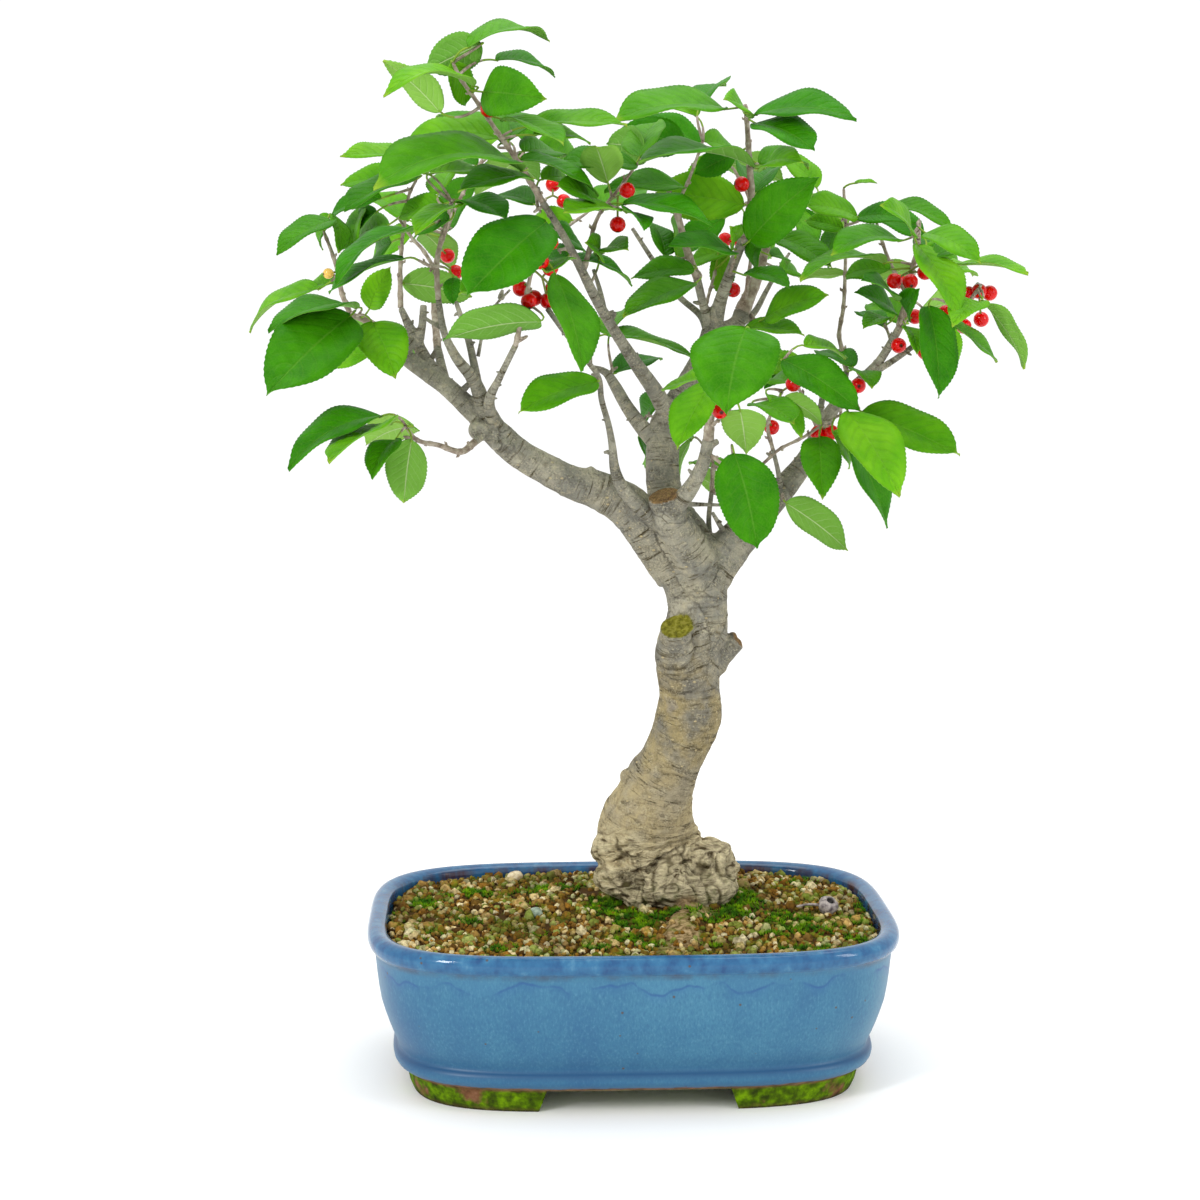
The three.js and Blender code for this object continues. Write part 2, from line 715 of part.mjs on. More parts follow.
    stems: [
      [
        [101, 283, 9, 2.2], [103.5, 293, 6, 1.9], [105, 303, 3, 1.6], [107, 312, 0, 1.4],
        [107.5, 322, -3, 1.2],
      ],
      [[103.5, 295, 6, 1.5], [98.5, 303, 11, 1.3], [94.5, 312, 16, 1.1], [91, 323, 20, 0.9]],
      [[106.5, 309, 1, 1.1], [115, 306, 14, 0.8]],
    ],
    leaves: [
      [99, 293, -8, 86, 300, -26, 3], [95, 306.5, 2, 63, 300, -14, 4, 5],
      [100.5, 314.5, -14, 74.5, 309.5, -30, 8, 4], [96, 327.5, 22, 120.5, 318, 12, 6, 3],
      [110, 317.5, -16, 131, 306, -38, 10, 3], [107, 313, -14, 122.5, 287, -36, 12],
      [118, 305, 4, 149, 302.5, -16, 3, 2],
    ],
  },
  // outer twig of the right crown
  {
    stems: [
      [
        [106, 275.5, 6, 1.5], [113, 281, 2, 1.4], [120, 286.5, -2, 1.2], [126, 291.5, -6, 1.1],
        [131.5, 298.5, -8, 0.9],
      ],
    ],
    leaves: [
      [133, 291, -20, 148.5, 267, -34, -6, 2], [111.5, 290.5, -15, 116, 256, -28, 14],
      [118, 285, -10, 138, 269.5, -2, 4, 1],
    ],
  },
  // back of the left crown
  {
    stems: [
      [
        [-72, 275, 14, 2], [-73, 292, 28, 1.7], [-72, 308, 42, 1.4], [-66, 324, 54, 1.2],
        [-60, 336, 64, 1],
      ],
    ],
    leaves: [
      [-58, 336, 68, -70, 318, 90, 12], [-82, 322, 54, -99, 332, 76, 9],
      [-76, 317, 50, -66, 304, 72, -12],
    ],
  },
  // back of the middle
  {
    stems: [
      [
        [-14, 295, 28, 1.8], [-19.5, 306, 40, 1.6], [-26, 318, 52, 1.4], [-33, 329, 62, 1.2],
        [-42, 343, 72, 1],
      ],
      [[-26, 318, 52, 1.1], [-16, 325, 64, 0.8]],
    ],
    leaves: [
      [-40, 345, 76, -58, 330, 100, -12], [-14, 326, 66, 6, 333, 88, 10],
      [-22, 322, 60, -42, 312, 84, 14],
    ],
  },
  // back of the upper crown
  {
    stems: [
      [[33, 291, 44, 2], [37, 303, 56, 1.7], [42, 316, 68, 1.4], [44, 329, 76, 1.2], [38, 341, 82, 1]],
      [[44, 329, 76, 1.1], [36, 324, 92, 0.8]],
    ],
    leaves: [
      [32, 346, 86, 24, 327, 106, 14], [35, 323, 94, 18, 312, 108, 12], [42, 325, 86, 52, 308, 104, 10],
    ],
  },
  // back of the upper crown, right stem
  {
    stems: [
      [[44, 294, 48, 1.7], [48, 304, 58, 1.5], [53, 317, 68, 1.3], [60, 328, 78, 1]],
    ],
    leaves: [
      [66, 331, 82, 80, 316, 102, -12], [62, 326, 84, 68, 310, 96, 10],
    ],
  },
  // back of the right crown
  {
    stems: [
      [
        [91, 268, 30, 1.8], [97, 275, 42, 1.6], [102, 285, 54, 1.4], [104, 298, 66, 1.1],
        [106, 308, 74, 1],
      ],
    ],
    leaves: [
      [105, 305, 74, 90, 296, 96, -12], [110, 311, 80, 117, 316, 108, 9],
      [113, 285, 68, 122, 266, 78, 12], [104, 284, 58, 88, 291, 78, 9],
    ],
  },
  // back of the right crown, low
  {
    stems: [
      [[72, 256, 32, 1.7], [73, 264, 48, 1.4], [68, 268, 62, 1.1]],
    ],
    leaves: [
      [64, 267, 70, 78, 258, 92, 12], [64, 270, 66, 46, 266, 56, 10],
    ],
  },
  // back of the left limb
  {
    stems: [
      [[-92, 276, 10, 1.6], [-95, 275, 28, 1.3], [-92, 279, 44, 1]],
    ],
    leaves: [
      [-96, 273, 58, -120, 270, 74, 12], [-90, 277, 50, -80, 268, 74, 8],
    ],
  },
];

// Fruit: root on the branch, then the berry, or the fork of the stalks and its berries
const fruits = [
  [[-54, 361, -55], [-52.5, 362.3, -64]],
  [[-8, 329, -15], [-5, 331, -20], [-1.5, 333, -21], [-5, 320.5, -23]],
  [[-36.5, 304, -45], [-33, 301, -42], [-30, 304.5, -43], [-29, 297, -38]],
  [[-38.5, 298, -43], [-38.5, 299, -38], [-41, 297, -35], [-36, 293.5, -34]],
  [[-108.5, 303, -12], [-112, 302.5, -14]],
  [[44.2, 335, 6], [41, 335.3, 5]],
  [[36, 300, 20], [38, 296.5, 27]],
  [[103.5, 293.5, 6], [103.5, 303, -1], [98.5, 299.8, -1], [104.5, 299.5, -6], [110, 303, -4]],
  [[131, 297.8, -7.5], [130, 299, -2], [126.5, 295, 0], [130.5, 296, -4], [134.5, 295.3, -1]],
  [[120, 286.5, -2], [124, 288, 4], [118, 288, 6], [125, 283, 2]],
  [[97, 276, 11.5], [100.5, 275.8, 2]],
  [[84.5, 261.5, 15], [85.5, 260.8, 5]],
  [[74, 247.5, -17.5], [73.5, 245, -12], [70.5, 243, -10], [75.5, 243.3, -12]],
  [[56.5, 258.5, -17.5], [61, 261.5, -24]],
  [[-72, 308, 42], [-65, 303, 48]],
  [[-33, 329, 62], [-29, 331, 66], [-25, 329, 68], [-29, 335, 70]],
  [[42, 316, 68], [35, 315, 77]],
  [[104, 299, 67], [100.5, 299.5, 72]],
];

// A berry and its stalk are turned round one line: distance from the berry's middle, radius
const berryRings = [[-0.95, 0.25], [-0.55, 0.84], [0.08, 1], [0.62, 0.78], [0.97, 0.2]];

function berrySolid(foot, spot) {
  const centre = place(...spot);
  const start = place(...foot);
  const along = start.clone().sub(centre).normalize();
  const stations = berryRings.map(([reach, share]) => ({
    centre: centre.clone().addScaledVector(along, reach * berryRadius),
    wide: share * berryRadius,
    deep: share * berryRadius,
  }));
  stations.push({ centre: start, wide: berryStalk, deep: berryStalk });
  return limb(stations, 5);
}

function fruitSolid([root, ...spots]) {
  if (spots.length === 1) return berrySolid(root, spots[0]);
  const [fork, ...berries] = spots;
  return joined([
    branch([[...root, berryStalk], [...fork, berryStalk]]),
    ...berries.map((berry) => berrySolid(fork, berry)),
  ]);
}


// Pot
function planRing(inset, height) {
  const halfLength = rimHalfLength - inset;
  const halfDepth = rimHalfDepth - inset;
  const ring = [];
  for (let i = 0; i < planSteps; i += 1) {
    const turn = ((i + 0.5) / planSteps) * 2 * Math.PI;
    const across = Math.abs(Math.cos(turn)) / halfLength;
    const deep = Math.abs(Math.sin(turn)) / halfDepth;
    const reach = (across ** planPower + deep ** planPower) ** (-1 / planPower);
    ring.push(new THREE.Vector3(reach * Math.cos(turn), reach * Math.sin(turn), height));
  }
  return ring;
}

// Inset from the rim's outer line, height
const potProfile = [
  [15.5, footHeight - 1], [11.6, 10.2], [9.3, 13], [9.8, 15.6], [11.4, 16.6], [9.2, 22], [4.8, 35],
  [2.8, 53.5], [0.7, 56], [0, 58.8], [1, 61.2], [3.4, rimHeight], [7.2, 60], [8, 48], [13.5, 22],
  [19, innerFloor],
];

// The wall that the soil fills, from the floor up
const soilProfile = [[19, innerFloor], [13.5, 22], [8, 48], [7.4, soilLevel - 1]];

function boxSolid(sizeX, sizeY, sizeZ, x, y, z) {
  const box = new THREE.BoxGeometry(sizeX, sizeY, sizeZ);
  box.translate(x, y, z);
  return solidOf(box);
}

// The gap between two feet: a slot with slanted ends, run right through the foot ring
function footGap(gap, reach, turn) {
  const top = footHeight - footFillet;
  const wide = (gap + footSlant) / 2;
  const narrow = (gap - footSlant) / 2;
  const outline = new THREE.Shape();
  outline.moveTo(-wide, -1);
  outline.lineTo(wide, -1);
  outline.lineTo(narrow, top);
  outline.lineTo(-narrow, top);
  const slot = new THREE.ExtrudeGeometry(outline, { depth: reach, bevelEnabled: false });
  slot.translate(0, 0, -reach / 2);
  slot.rotateX(Math.PI / 2);
  slot.rotateZ(turn);
  return solidOf(slot);
}

function potSolid() {
  const body = skin(potProfile.map(([inset, height]) => planRing(inset, height)));
  const outer = skin([planRing(footInset, 0), planRing(footInset - footTaper, footHeight + footRoot)]);
  const inner = skin([
    planRing(footInset + footThickness, -1),
    planRing(footInset + footThickness, footHeight - footFillet),
  ]);
  const feet = outer.subtract(inner)
    .subtract(footGap(frontFootGap, 2 * rimHalfDepth, 0))
    .subtract(footGap(sideFootGap, 2 * rimHalfLength, Math.PI / 2));
  const holes = [-drainHoleOffset, drainHoleOffset].map((x) => {
    const hole = new THREE.CylinderGeometry(drainHoleRadius, drainHoleRadius, 4 * footHeight, 14);
    hole.rotateX(Math.PI / 2);
    hole.translate(x, 0, innerFloor);
    return solidOf(hole);
  });
  return body.add(feet).subtract(joined(holes));
}

// A drain screen, a plate with slots
const screenMiddle = innerFloor + clearance + screenThickness / 2;

function screenSolid(x) {
  const holes = [-1, 0, 1].map((i) => boxSolid(screenHoleSize, screenSize - 4 * screenHoleSize,
    4 * screenThickness, x + i * 2 * screenHoleSize, 0, screenMiddle));
  return boxSolid(screenSize, screenSize, screenThickness, x, 0, screenMiddle)
    .subtract(joined(holes));
}

// Soil: level near the wall, mounded towards the trunk, with grains as low relief
const moundMiddle = [16, 16];
const moundReach = [50, 38];

function soilHeight(x, y) {
  const away = Math.hypot((x - moundMiddle[0]) / moundReach[0], (y - moundMiddle[1]) / moundReach[1]);
  const grain = Math.sin(x * 1.9 + Math.sin(y * 1.3) * 2) * Math.sin(y * 2.1 + Math.sin(x * 0.9) * 2);
  return soilLevel + soilMound * Math.exp(-away * away) + grainRelief * grain;
}

function soilSolid() {
  const rings = soilProfile.map(([inset, height]) => planRing(inset + clearance, height + clearance));
  for (const share of [0.92, 0.82, 0.7, 0.56, 0.4, 0.22]) {
    const ring = planRing(soilProfile[3][0], 0);
    for (const point of ring) {
      point.multiplyScalar(share);
      point.z = soilHeight(point.x, point.y);
    }
    rings.push(ring);
  }
  return skin(rings);
}

// Dry fruit that has fallen on the soil, with its open end up and its stalk lying to the left
const dryFruitSpot = [75.9, -4.8, soilLevel + 4.2];
const dryFruitRings = [[0.9, -3.2], [2.6, -2.6], [3.8, -0.9], [3.7, 1.2], [2.1, 3.1], [1.2, 1.7]];
const dryStalk = [[74, 60.8, -4.8, 0.6], [69, 61.2, -5.5, 0.5], [64.5, 60.4, -7, 0.45]];

function dryFruitSolid() {
  const rings = dryFruitRings.map(([radius, height]) => {
    const ring = [];
    for (let i = 0; i < 8; i += 1) {
      const turn = (i / 8) * 2 * Math.PI;
      const point = new THREE.Vector3(radius * Math.cos(turn), radius * Math.sin(turn), height);
      ring.push(point.applyEuler(new THREE.Euler(0.5, 0.3, 0)).add(new THREE.Vector3(...dryFruitSpot)));
    }
    return ring;
  });
  return skin(rings).add(branch(dryStalk));
}

// Assembly: every piece is a node of its own, where it grew or was laid
const model = new THREE.Group();

function addNode(name, solid, color, roughness) {
  const mesh = solid.getMesh();
  const geometry = new THREE.BufferGeometry();
  geometry.setAttribute("position", new THREE.Float32BufferAttribute(mesh.vertProperties, 3));
  geometry.setIndex(Array.from(mesh.triVerts));
  const finish = new THREE.MeshStandardMaterial({ color, roughness, metalness: 0 });
  const node = new THREE.Mesh(geometry, finish);
  node.name = name;
  model.add(node);
}

const woodRoom = woodSolid(clearance);
const stemRoom = joined(sprays.flatMap(({ stems }) => stems.map((stem) => branch(stem, clearance))));
const screenRooms = [-drainHoleOffset, drainHoleOffset].map((x) => boxSolid(
  screenSize + 2 * clearance, screenSize + 2 * clearance, screenThickness + 4 * clearance,
  x, 0, screenMiddle));

addNode("pot", potSolid(), 0x3f7fa8, 0.25);
addNode("soil", soilSolid().subtract(joined([woodRoom, ...screenRooms])), 0x7a6040, 0.95);
addNode("trunk_and_branches", woodSolid(0), 0x8d8375, 0.85);
addNode("fallen_dry_fruit", dryFruitSolid(), 0x8f8782, 0.6);
[-drainHoleOffset, drainHoleOffset].forEach((x, i) => {
  addNode(`drain_screen_${i + 1}`, screenSolid(x), 0x2c2f2e, 0.6);
});
sprays.forEach((spray, i) => {
  addNode(`leafy_spray_${i + 1}`, largestPiece(spraySolid(spray).subtract(woodRoom)), 0x4f8f24, 0.5);
});
fruits.forEach((fruit, i) => {
  const solid = largestPiece(fruitSolid(fruit).subtract(joined([woodRoom, stemRoom])));
  addNode(`fruit_${i + 1}`, solid, 0xc4121a, 0.2);
});

export default model;
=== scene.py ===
import math
import random
from functools import reduce

import bpy
import numpy as np
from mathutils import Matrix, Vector
from mathutils.kdtree import KDTree


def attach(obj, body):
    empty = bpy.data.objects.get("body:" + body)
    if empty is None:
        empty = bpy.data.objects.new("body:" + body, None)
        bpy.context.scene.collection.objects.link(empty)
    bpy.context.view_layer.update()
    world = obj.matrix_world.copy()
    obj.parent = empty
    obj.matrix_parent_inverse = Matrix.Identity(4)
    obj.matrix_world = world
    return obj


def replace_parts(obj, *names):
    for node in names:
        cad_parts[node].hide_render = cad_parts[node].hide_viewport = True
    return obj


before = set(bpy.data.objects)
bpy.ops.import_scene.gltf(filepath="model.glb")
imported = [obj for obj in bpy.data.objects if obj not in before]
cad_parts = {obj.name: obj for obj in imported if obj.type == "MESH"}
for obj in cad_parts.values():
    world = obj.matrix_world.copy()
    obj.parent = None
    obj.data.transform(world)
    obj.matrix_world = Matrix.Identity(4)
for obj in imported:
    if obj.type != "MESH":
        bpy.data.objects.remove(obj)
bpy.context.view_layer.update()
mm = 0.001
fullTurn = 2 * math.pi


# Materials: these find the node tree through the sockets that they are given

def paintOf(value):  # sRGB hex to linear, or a grey value, as a colour
    if not isinstance(value, str):
        return [value] * 3 + [1]
    parts = [int(value[i:i + 2], 16) / 255 for i in (1, 3, 5)]
    return [c / 12.92 if c <= 0.04045 else ((c + 0.055) / 1.055) ** 2.4 for c in parts] + [1]


def isSocket(value):
    return isinstance(value, bpy.types.NodeSocket)


def addNode(tree, kind, settings):  # settings: properties, input values, and sockets that feed an input
    node = tree.nodes.new(kind)
    for key, value in settings.items():
        if isSocket(value):
            tree.links.new(value, node.inputs[key])
        elif isinstance(key, str) and hasattr(node, key):
            setattr(node, key, value)
        else:
            node.inputs[key].default_value = value
    return node


def fed(kind, settings, output=0):  # an output of a new node that stands beside those that feed it
    tree = next(value.id_data for value in settings.values() if isSocket(value))
    return addNode(tree, kind, settings).outputs[output]


def newMaterial(name):
    material = bpy.data.materials.new(name)
    material.use_nodes = True
    material.node_tree.nodes.clear()
    skin = addNode(material.node_tree, "ShaderNodeBsdfPrincipled", {})
    addNode(material.node_tree, "ShaderNodeOutputMaterial", {0: skin.outputs[0]})
    return material, skin


def finishSkin(skin, paint, roughness, specular=None, ior=None):
    values = {"Base Color": paint, "Roughness": roughness, "Specular IOR Level": specular, "IOR": ior}
    for key, value in values.items():
        if isSocket(value):
            skin.id_data.links.new(value, skin.inputs[key])
        elif value is not None:
            skin.inputs[key].default_value = value


def liftSkin(skin, height, reach, strength):  # bump of that reach in mm
    bump = fed("ShaderNodeBump", {"Strength": strength, "Distance": reach * mm, "Height": height})
    skin.id_data.links.new(bump, skin.inputs["Normal"])


def objectSpot(skin):
    return addNode(skin.id_data, "ShaderNodeTexCoord", {}).outputs["Object"]


def readValue(skin, name):  # what makePiece laid on the points
    return addNode(skin.id_data, "ShaderNodeAttribute", {"attribute_name": name}).outputs["Fac"]


def rampOf(socket, *stops):  # stops: position, then grey value or hex colour
    ramp = addNode(socket.id_data, "ShaderNodeValToRGB", {0: socket})
    elements = ramp.color_ramp.elements
    while len(elements) < len(stops):
        elements.new(0.5)
    for element, (position, value) in zip(elements, stops):
        element.position, element.color = position, paintOf(value)
    return ramp.outputs[0]


def mixPaint(share, first, second):  # paints are sockets, hex colours or grey values
    first, second = (value if isSocket(value) else paintOf(value) for value in (first, second))
    return fed("ShaderNodeMix", {"data_type": "RGBA", 0: share, 6: first, 7: second}, 2)


def coated(paint, *coats):  # each coat: how much of it, then its paint
    for share, coat in coats:
        paint = mixPaint(share, paint, coat)
    return paint


def maths(operation, *values):
    return fed("ShaderNodeMath", {"operation": operation, **dict(enumerate(values))})


def plus(*values):
    return reduce(lambda first, second: maths("ADD", first, second), values)


def times(*values):
    return reduce(lambda first, second: maths("MULTIPLY", first, second), values)


def minus(first, second):
    return maths("SUBTRACT", first, second)


def vectorMaths(operation, *values, output=0):
    return fed("ShaderNodeVectorMath", {"operation": operation, **dict(enumerate(values))}, output)


def stretched(vector, *factors):
    return vectorMaths("MULTIPLY", vector, factors)


def axesOf(vector):
    return addNode(vector.id_data, "ShaderNodeSeparateXYZ", {0: vector}).outputs


def cloudOf(vector, size, detail=3.0, roughness=0.55):  # size of one blot, in mm
    return fed("ShaderNodeTexNoise", {
        "Scale": 1 / (size * mm), "Detail": detail, "Roughness": roughness, "Vector": vector})


def specksOf(vector, size, least, *stops):  # round specks in the cells whose random number passes least
    cells = addNode(vector.id_data, "ShaderNodeTexVoronoi", {"Scale": 1 / (size * mm), "Vector": vector}).outputs
    return times(rampOf(cells[0], *stops), maths("GREATER_THAN", axesOf(cells[1])[0], least))


# Shapes, in mm

def grainOf(points, size, seed=0):  # smooth random values from -1 to 1 in space, one blot is size mm
    q = np.asarray(points, float) / size + seed * 17.13
    cell = np.floor(q).astype(np.int64)
    part = q - cell
    part = part * part * (3 - 2 * part)
    total = np.zeros(len(q))
    for corner in range(8):
        bits = np.array([corner & 1, (corner >> 1) & 1, (corner >> 2) & 1])
        n = (cell + bits).astype(np.uint64)
        n = (n[:, 0] * 73856093) ^ (n[:, 1] * 19349663) ^ (n[:, 2] * 83492791)
        n = n & 0xffffffff
        n = ((n ^ (n >> 13)) * 1274126177) & 0xffffffff
        n = (n ^ (n >> 16)) & 0xffff
        total += np.prod(np.where(bits, part, 1 - part), axis=1) * (n / 32767.5 - 1)
    return total


def smoothStep(low, high, value):
    t = np.clip((value - low) / (high - low), 0, 1)
    return t * t * (3 - 2 * t)


def unit(vector):
    return vector / np.linalg.norm(vector)


def turnsOf(count):
    return np.arange(count) / count * fullTurn


def lengthsAlong(path):  # how far along the path each of its rows is
    return np.concatenate([[0], np.cumsum(np.linalg.norm(np.diff(path[:, :3], axis=0), axis=1))])


def smoothPath(rows, spacing):  # a curve through the rows, about one row for each spacing mm
    rows = np.asarray(rows, float)
    spans = np.maximum(np.linalg.norm(np.diff(rows[:, :3], axis=0), axis=1), 1e-6)
    slopes = np.empty_like(rows)
    slopes[0] = (rows[1] - rows[0]) / spans[0]
    slopes[-1] = (rows[-1] - rows[-2]) / spans[-1]
    for i in range(1, len(rows) - 1):
        slopes[i] = (rows[i + 1] - rows[i - 1]) / (spans[i] + spans[i - 1])
    out = [rows[0]]
    for i, span in enumerate(spans):
        count = max(1, round(span / spacing))
        for t in (k / count for k in range(1, count + 1)):
            out.append((2 * t ** 3 - 3 * t ** 2 + 1) * rows[i] + (t ** 3 - 2 * t ** 2 + t) * span * slopes[i]
                       + (3 * t ** 2 - 2 * t ** 3) * rows[i + 1] + (t ** 3 - t ** 2) * span * slopes[i + 1])
    return np.array(out)


def roundRing(radius, height, sides, turn=0):
    return [[radius * math.cos(t + turn), radius * math.sin(t + turn), height] for t in turnsOf(sides)]


def ringSkin(rings):  # rings of equal count, from the bottom up, closed by a point at each end
    rings = np.asarray(rings, float)
    rows, count = rings.shape[:2]
    points = np.vstack([rings.reshape(-1, 3), rings[0].mean(0), rings[-1].mean(0)])
    following = [(j, (j + 1) % count) for j in range(count)]
    faces = [(start + j, start + k, start + k + count, start + j + count)
             for start in range(0, (rows - 1) * count, count) for j, k in following]
    last, low, top = (rows - 1) * count, rows * count, rows * count + 1
    for j, k in following:
        faces += [(k, j, low), (last + j, last + k, top)]
    return points, faces


def tube(path, sides):  # path rows: x, y, z, half width, and half depth where it differs
    path = np.asarray(path, float)
    side, angles = np.array([1.0, 0, 0]), turnsOf(sides)
    rings = []
    for i, row in enumerate(path):
        along = unit(path[min(i + 1, len(path) - 1), :3] - path[max(i - 1, 0), :3])
        if i == 0 and abs(along @ side) > 0.9:
            side = np.array([0, 0, 1.0])
        side = unit(side - along * (side @ along))
        front = np.cross(along, side)
        rings.append(row[:3] + np.outer(np.cos(angles) * row[3], side) + np.outer(np.sin(angles) * row[-1], front))
    return ringSkin(rings)


def blob(centre, halfSizes, rows=9, sides=14):
    rings = []
    for rise in (math.pi * (k + 0.5) / rows for k in range(rows)):
        rings.append([[centre[0] + halfSizes[0] * math.sin(rise) * math.cos(turn),
                       centre[1] + halfSizes[1] * math.sin(rise) * math.sin(turn),
                       centre[2] - halfSizes[2] * math.cos(rise)] for turn in turnsOf(sides)])
    return ringSkin(rings)


def stacked(shapes):  # several shapes as one: points and faces
    points, faces, start = [], [], 0
    for shapePoints, shapeFaces in shapes:
        points.append(shapePoints)
        faces += [tuple(corner + start for corner in face) for face in shapeFaces]
        start += len(shapePoints)
    return np.vstack(points), faces


# Meshes and objects, in metres

def newMesh(name, points, faces, edges=(), scale=mm):
    mesh = bpy.data.meshes.new(name)
    mesh.from_pydata((np.asarray(points) * scale).tolist(), edges, faces)
    return mesh


def shadeSmooth(mesh):
    mesh.polygons.foreach_set("use_smooth", [True] * len(mesh.polygons))


def carry(mesh, name, values):  # a number or a vector on each point
    values = np.asarray(values, float)
    kind, key = ("FLOAT_VECTOR", "vector") if values.ndim == 2 else ("FLOAT", "value")
    mesh.attributes.new(name, kind, "POINT").data.foreach_set(key, values.ravel())


def addObject(name, data):
    thing = bpy.data.objects.new(name, data)
    bpy.context.scene.collection.objects.link(thing)
    return thing


def addPiece(name, mesh):
    piece = addObject(name, mesh)
    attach(piece, "root")
    return piece


def partOf(shape, **carried):  # carried: a value for each point, and the paint (which of the materials) and uv
    return {"points": shape[0], "faces": shape[1], **carried}


def makePiece(name, parts, materials, values=()):
    points, faces = stacked([(part["points"], part["faces"]) for part in parts])
    mesh = newMesh(name, points, faces)
    paints = [part.get("paint", 0) for part in parts for _ in part["faces"]]
    mesh.polygons.foreach_set("material_index", paints)
    shadeSmooth(mesh)
    corners = np.zeros(len(mesh.loops), np.int32)
    mesh.loops.foreach_get("vertex_index", corners)
    uvs = np.vstack([part.get("uv", np.zeros((len(part["points"]), 2))) for part in parts])
    mesh.uv_layers.new(name="surfaceMap").data.foreach_set("uv", uvs[corners].ravel())
    for value in values:
        carry(mesh, value, np.concatenate([np.broadcast_to(
            np.asarray(part.get(value, 0.0), float), len(part["points"])) for part in parts]))
    for material in materials:
        mesh.materials.append(material)
    mesh.update()
    return addPiece(name, mesh)


def hiddenObject(name, points, faces, values=None):  # a source, removed when it has been used
    mesh = newMesh(name, points, faces)
    shadeSmooth(mesh)
    for key, value in (values or {}).items():
        carry(mesh, key, value)
    return addObject(name, mesh)


def freshMesh(thing):  # the plain mesh that its modifiers leave
    bpy.context.view_layer.update()
    return bpy.data.meshes.new_from_object(thing.evaluated_get(bpy.context.evaluated_depsgraph_get()))


def settle(piece):
    made = freshMesh(piece)
    piece.modifiers.clear()
    piece.data = made


def grown(source, tree, inputs):  # runs a node tree on a mesh and hands back the plain mesh
    modifier = source.modifiers.new("grow", "NODES")
    modifier.node_group = tree
    for item in tree.interface.items_tree:
        if item.item_type == "SOCKET" and item.in_out == "INPUT" and item.name in inputs:
            modifier[item.identifier] = inputs[item.name]
    mesh = freshMesh(source)
    source.modifiers.remove(modifier)
    return mesh


def newTree(name, inputs):  # geometry tree with named inputs: name, kind, starting value
    tree = bpy.data.node_groups.new(name, "GeometryNodeTree")
    for way in ("INPUT", "OUTPUT"):
        tree.interface.new_socket("Geometry", in_out=way, socket_type="NodeSocketGeometry")
    for label, kind, value in inputs:
        socket = tree.interface.new_socket(label, in_out="INPUT", socket_type="NodeSocket" + kind)
        if value is not None:
            socket.default_value = value
    return tree, addNode(tree, "NodeGroupInput", {}).outputs


def readPoint(tree, name, kind="FLOAT"):
    return addNode(tree, "GeometryNodeInputNamedAttribute", {"data_type": kind, "Name": name}).outputs[0]


def endTree(geometry, material):  # every tree ends so: its instances made into plain geometry, then painted
    real = fed("GeometryNodeRealizeInstances", {0: geometry})
    painted = fed("GeometryNodeSetMaterial", {"Material": material, "Geometry": real})
    addNode(geometry.id_data, "NodeGroupOutput", {0: painted})


# The camera stands where the plant is shown from. The crown is set out on the upright plane
# through the middle of the pot: place() moves a point of it along its sight line, + for back.

cameraSettings = {"spot": (-53.53, -898.41, 299.94), "target": (-11.55, 0, 180.25), "lens": 72.02, "sensor": 36}
standpoint = Vector(cameraSettings["spot"])


def place(x, z, depth):
    reach = (depth - standpoint.y) / -standpoint.y
    return [standpoint.x + (x - standpoint.x) * reach, depth, standpoint.z + (z - standpoint.z) * reach]


def placed(rows):  # rows: x, height, depth, then sizes
    return [place(*row[:3]) + list(row[3:]) for row in rows]


camera = addObject("camera", bpy.data.cameras.new("camera"))
camera.location = standpoint * mm
camera.rotation_euler = (Vector(cameraSettings["target"]) - standpoint).to_track_quat("-Z", "Y").to_euler()
camera.data.lens, camera.data.sensor_width = cameraSettings["lens"], cameraSettings["sensor"]
camera.data.clip_start = 10 * mm
bpy.context.scene.camera = camera
print("camera set")


# Trunk, root flare, limbs and branches

woodSettings = {
  "spacing": 1.5, "thinnest": 1.1, "trunkFrom": 10, "trunkSides": 40, "limbSides": 18, "thinSides": 9,
  "burlRings": (15, 24), "voxel": 0.62, "softness": 0.5, "softTurns": 3, "kept": 0.6, "seed": 7,
  # the relief: rings along the limbs, lumps, and swirls on the flare between its two heights
  "ringSize": 1.3, "ringHeight": 0.16, "lumpHeight": 0.45, "swirlHeight": 0.85, "flareFrom": 94, "flareFull": 80,
  "runShift": 31, "star": (21, 78.6, -6),
  # knobs on the flare, and spurs on limbs up to a radius
  "knobs": 34, "knobSize": (3, 6), "knobRise": (63, 80), "knobReach": 25, "spurGap": 11, "spurThickest": 4.2,
}
# Heart line of the trunk: x, height, depth, half width, half depth
trunkStations = [
  [16, 40, 20, 13, 12], [15.5, 55, 20, 17, 16], [14, 66, 20, 19, 17.5], [10.5, 76, 20, 20, 18],
  [7.5, 84, 19, 20.3, 18.5], [6.6, 91, 18, 19.6, 17.6], [7, 96, 17, 18.2, 16.6], [8.7, 102, 15, 16, 15.2],
  [11, 109.5, 14, 13.8, 13.6], [15.5, 118, 12, 12, 12], [19.8, 128, 11, 12.4, 12], [22.3, 136, 10, 12.9, 12.4],
  [22.4, 146, 9, 11.8, 12], [22, 155, 8, 12.2, 12], [22.8, 163, 7, 12.8, 12.4], [25, 170, 6, 12.2, 12],
  [25.5, 177, 6, 11, 11.3], [24.8, 184, 5, 11.8, 11.5], [24, 190.5, 5, 13.6, 12], [23, 197, 5, 14.5, 11],
  [21, 203, 6, 10, 8],
]
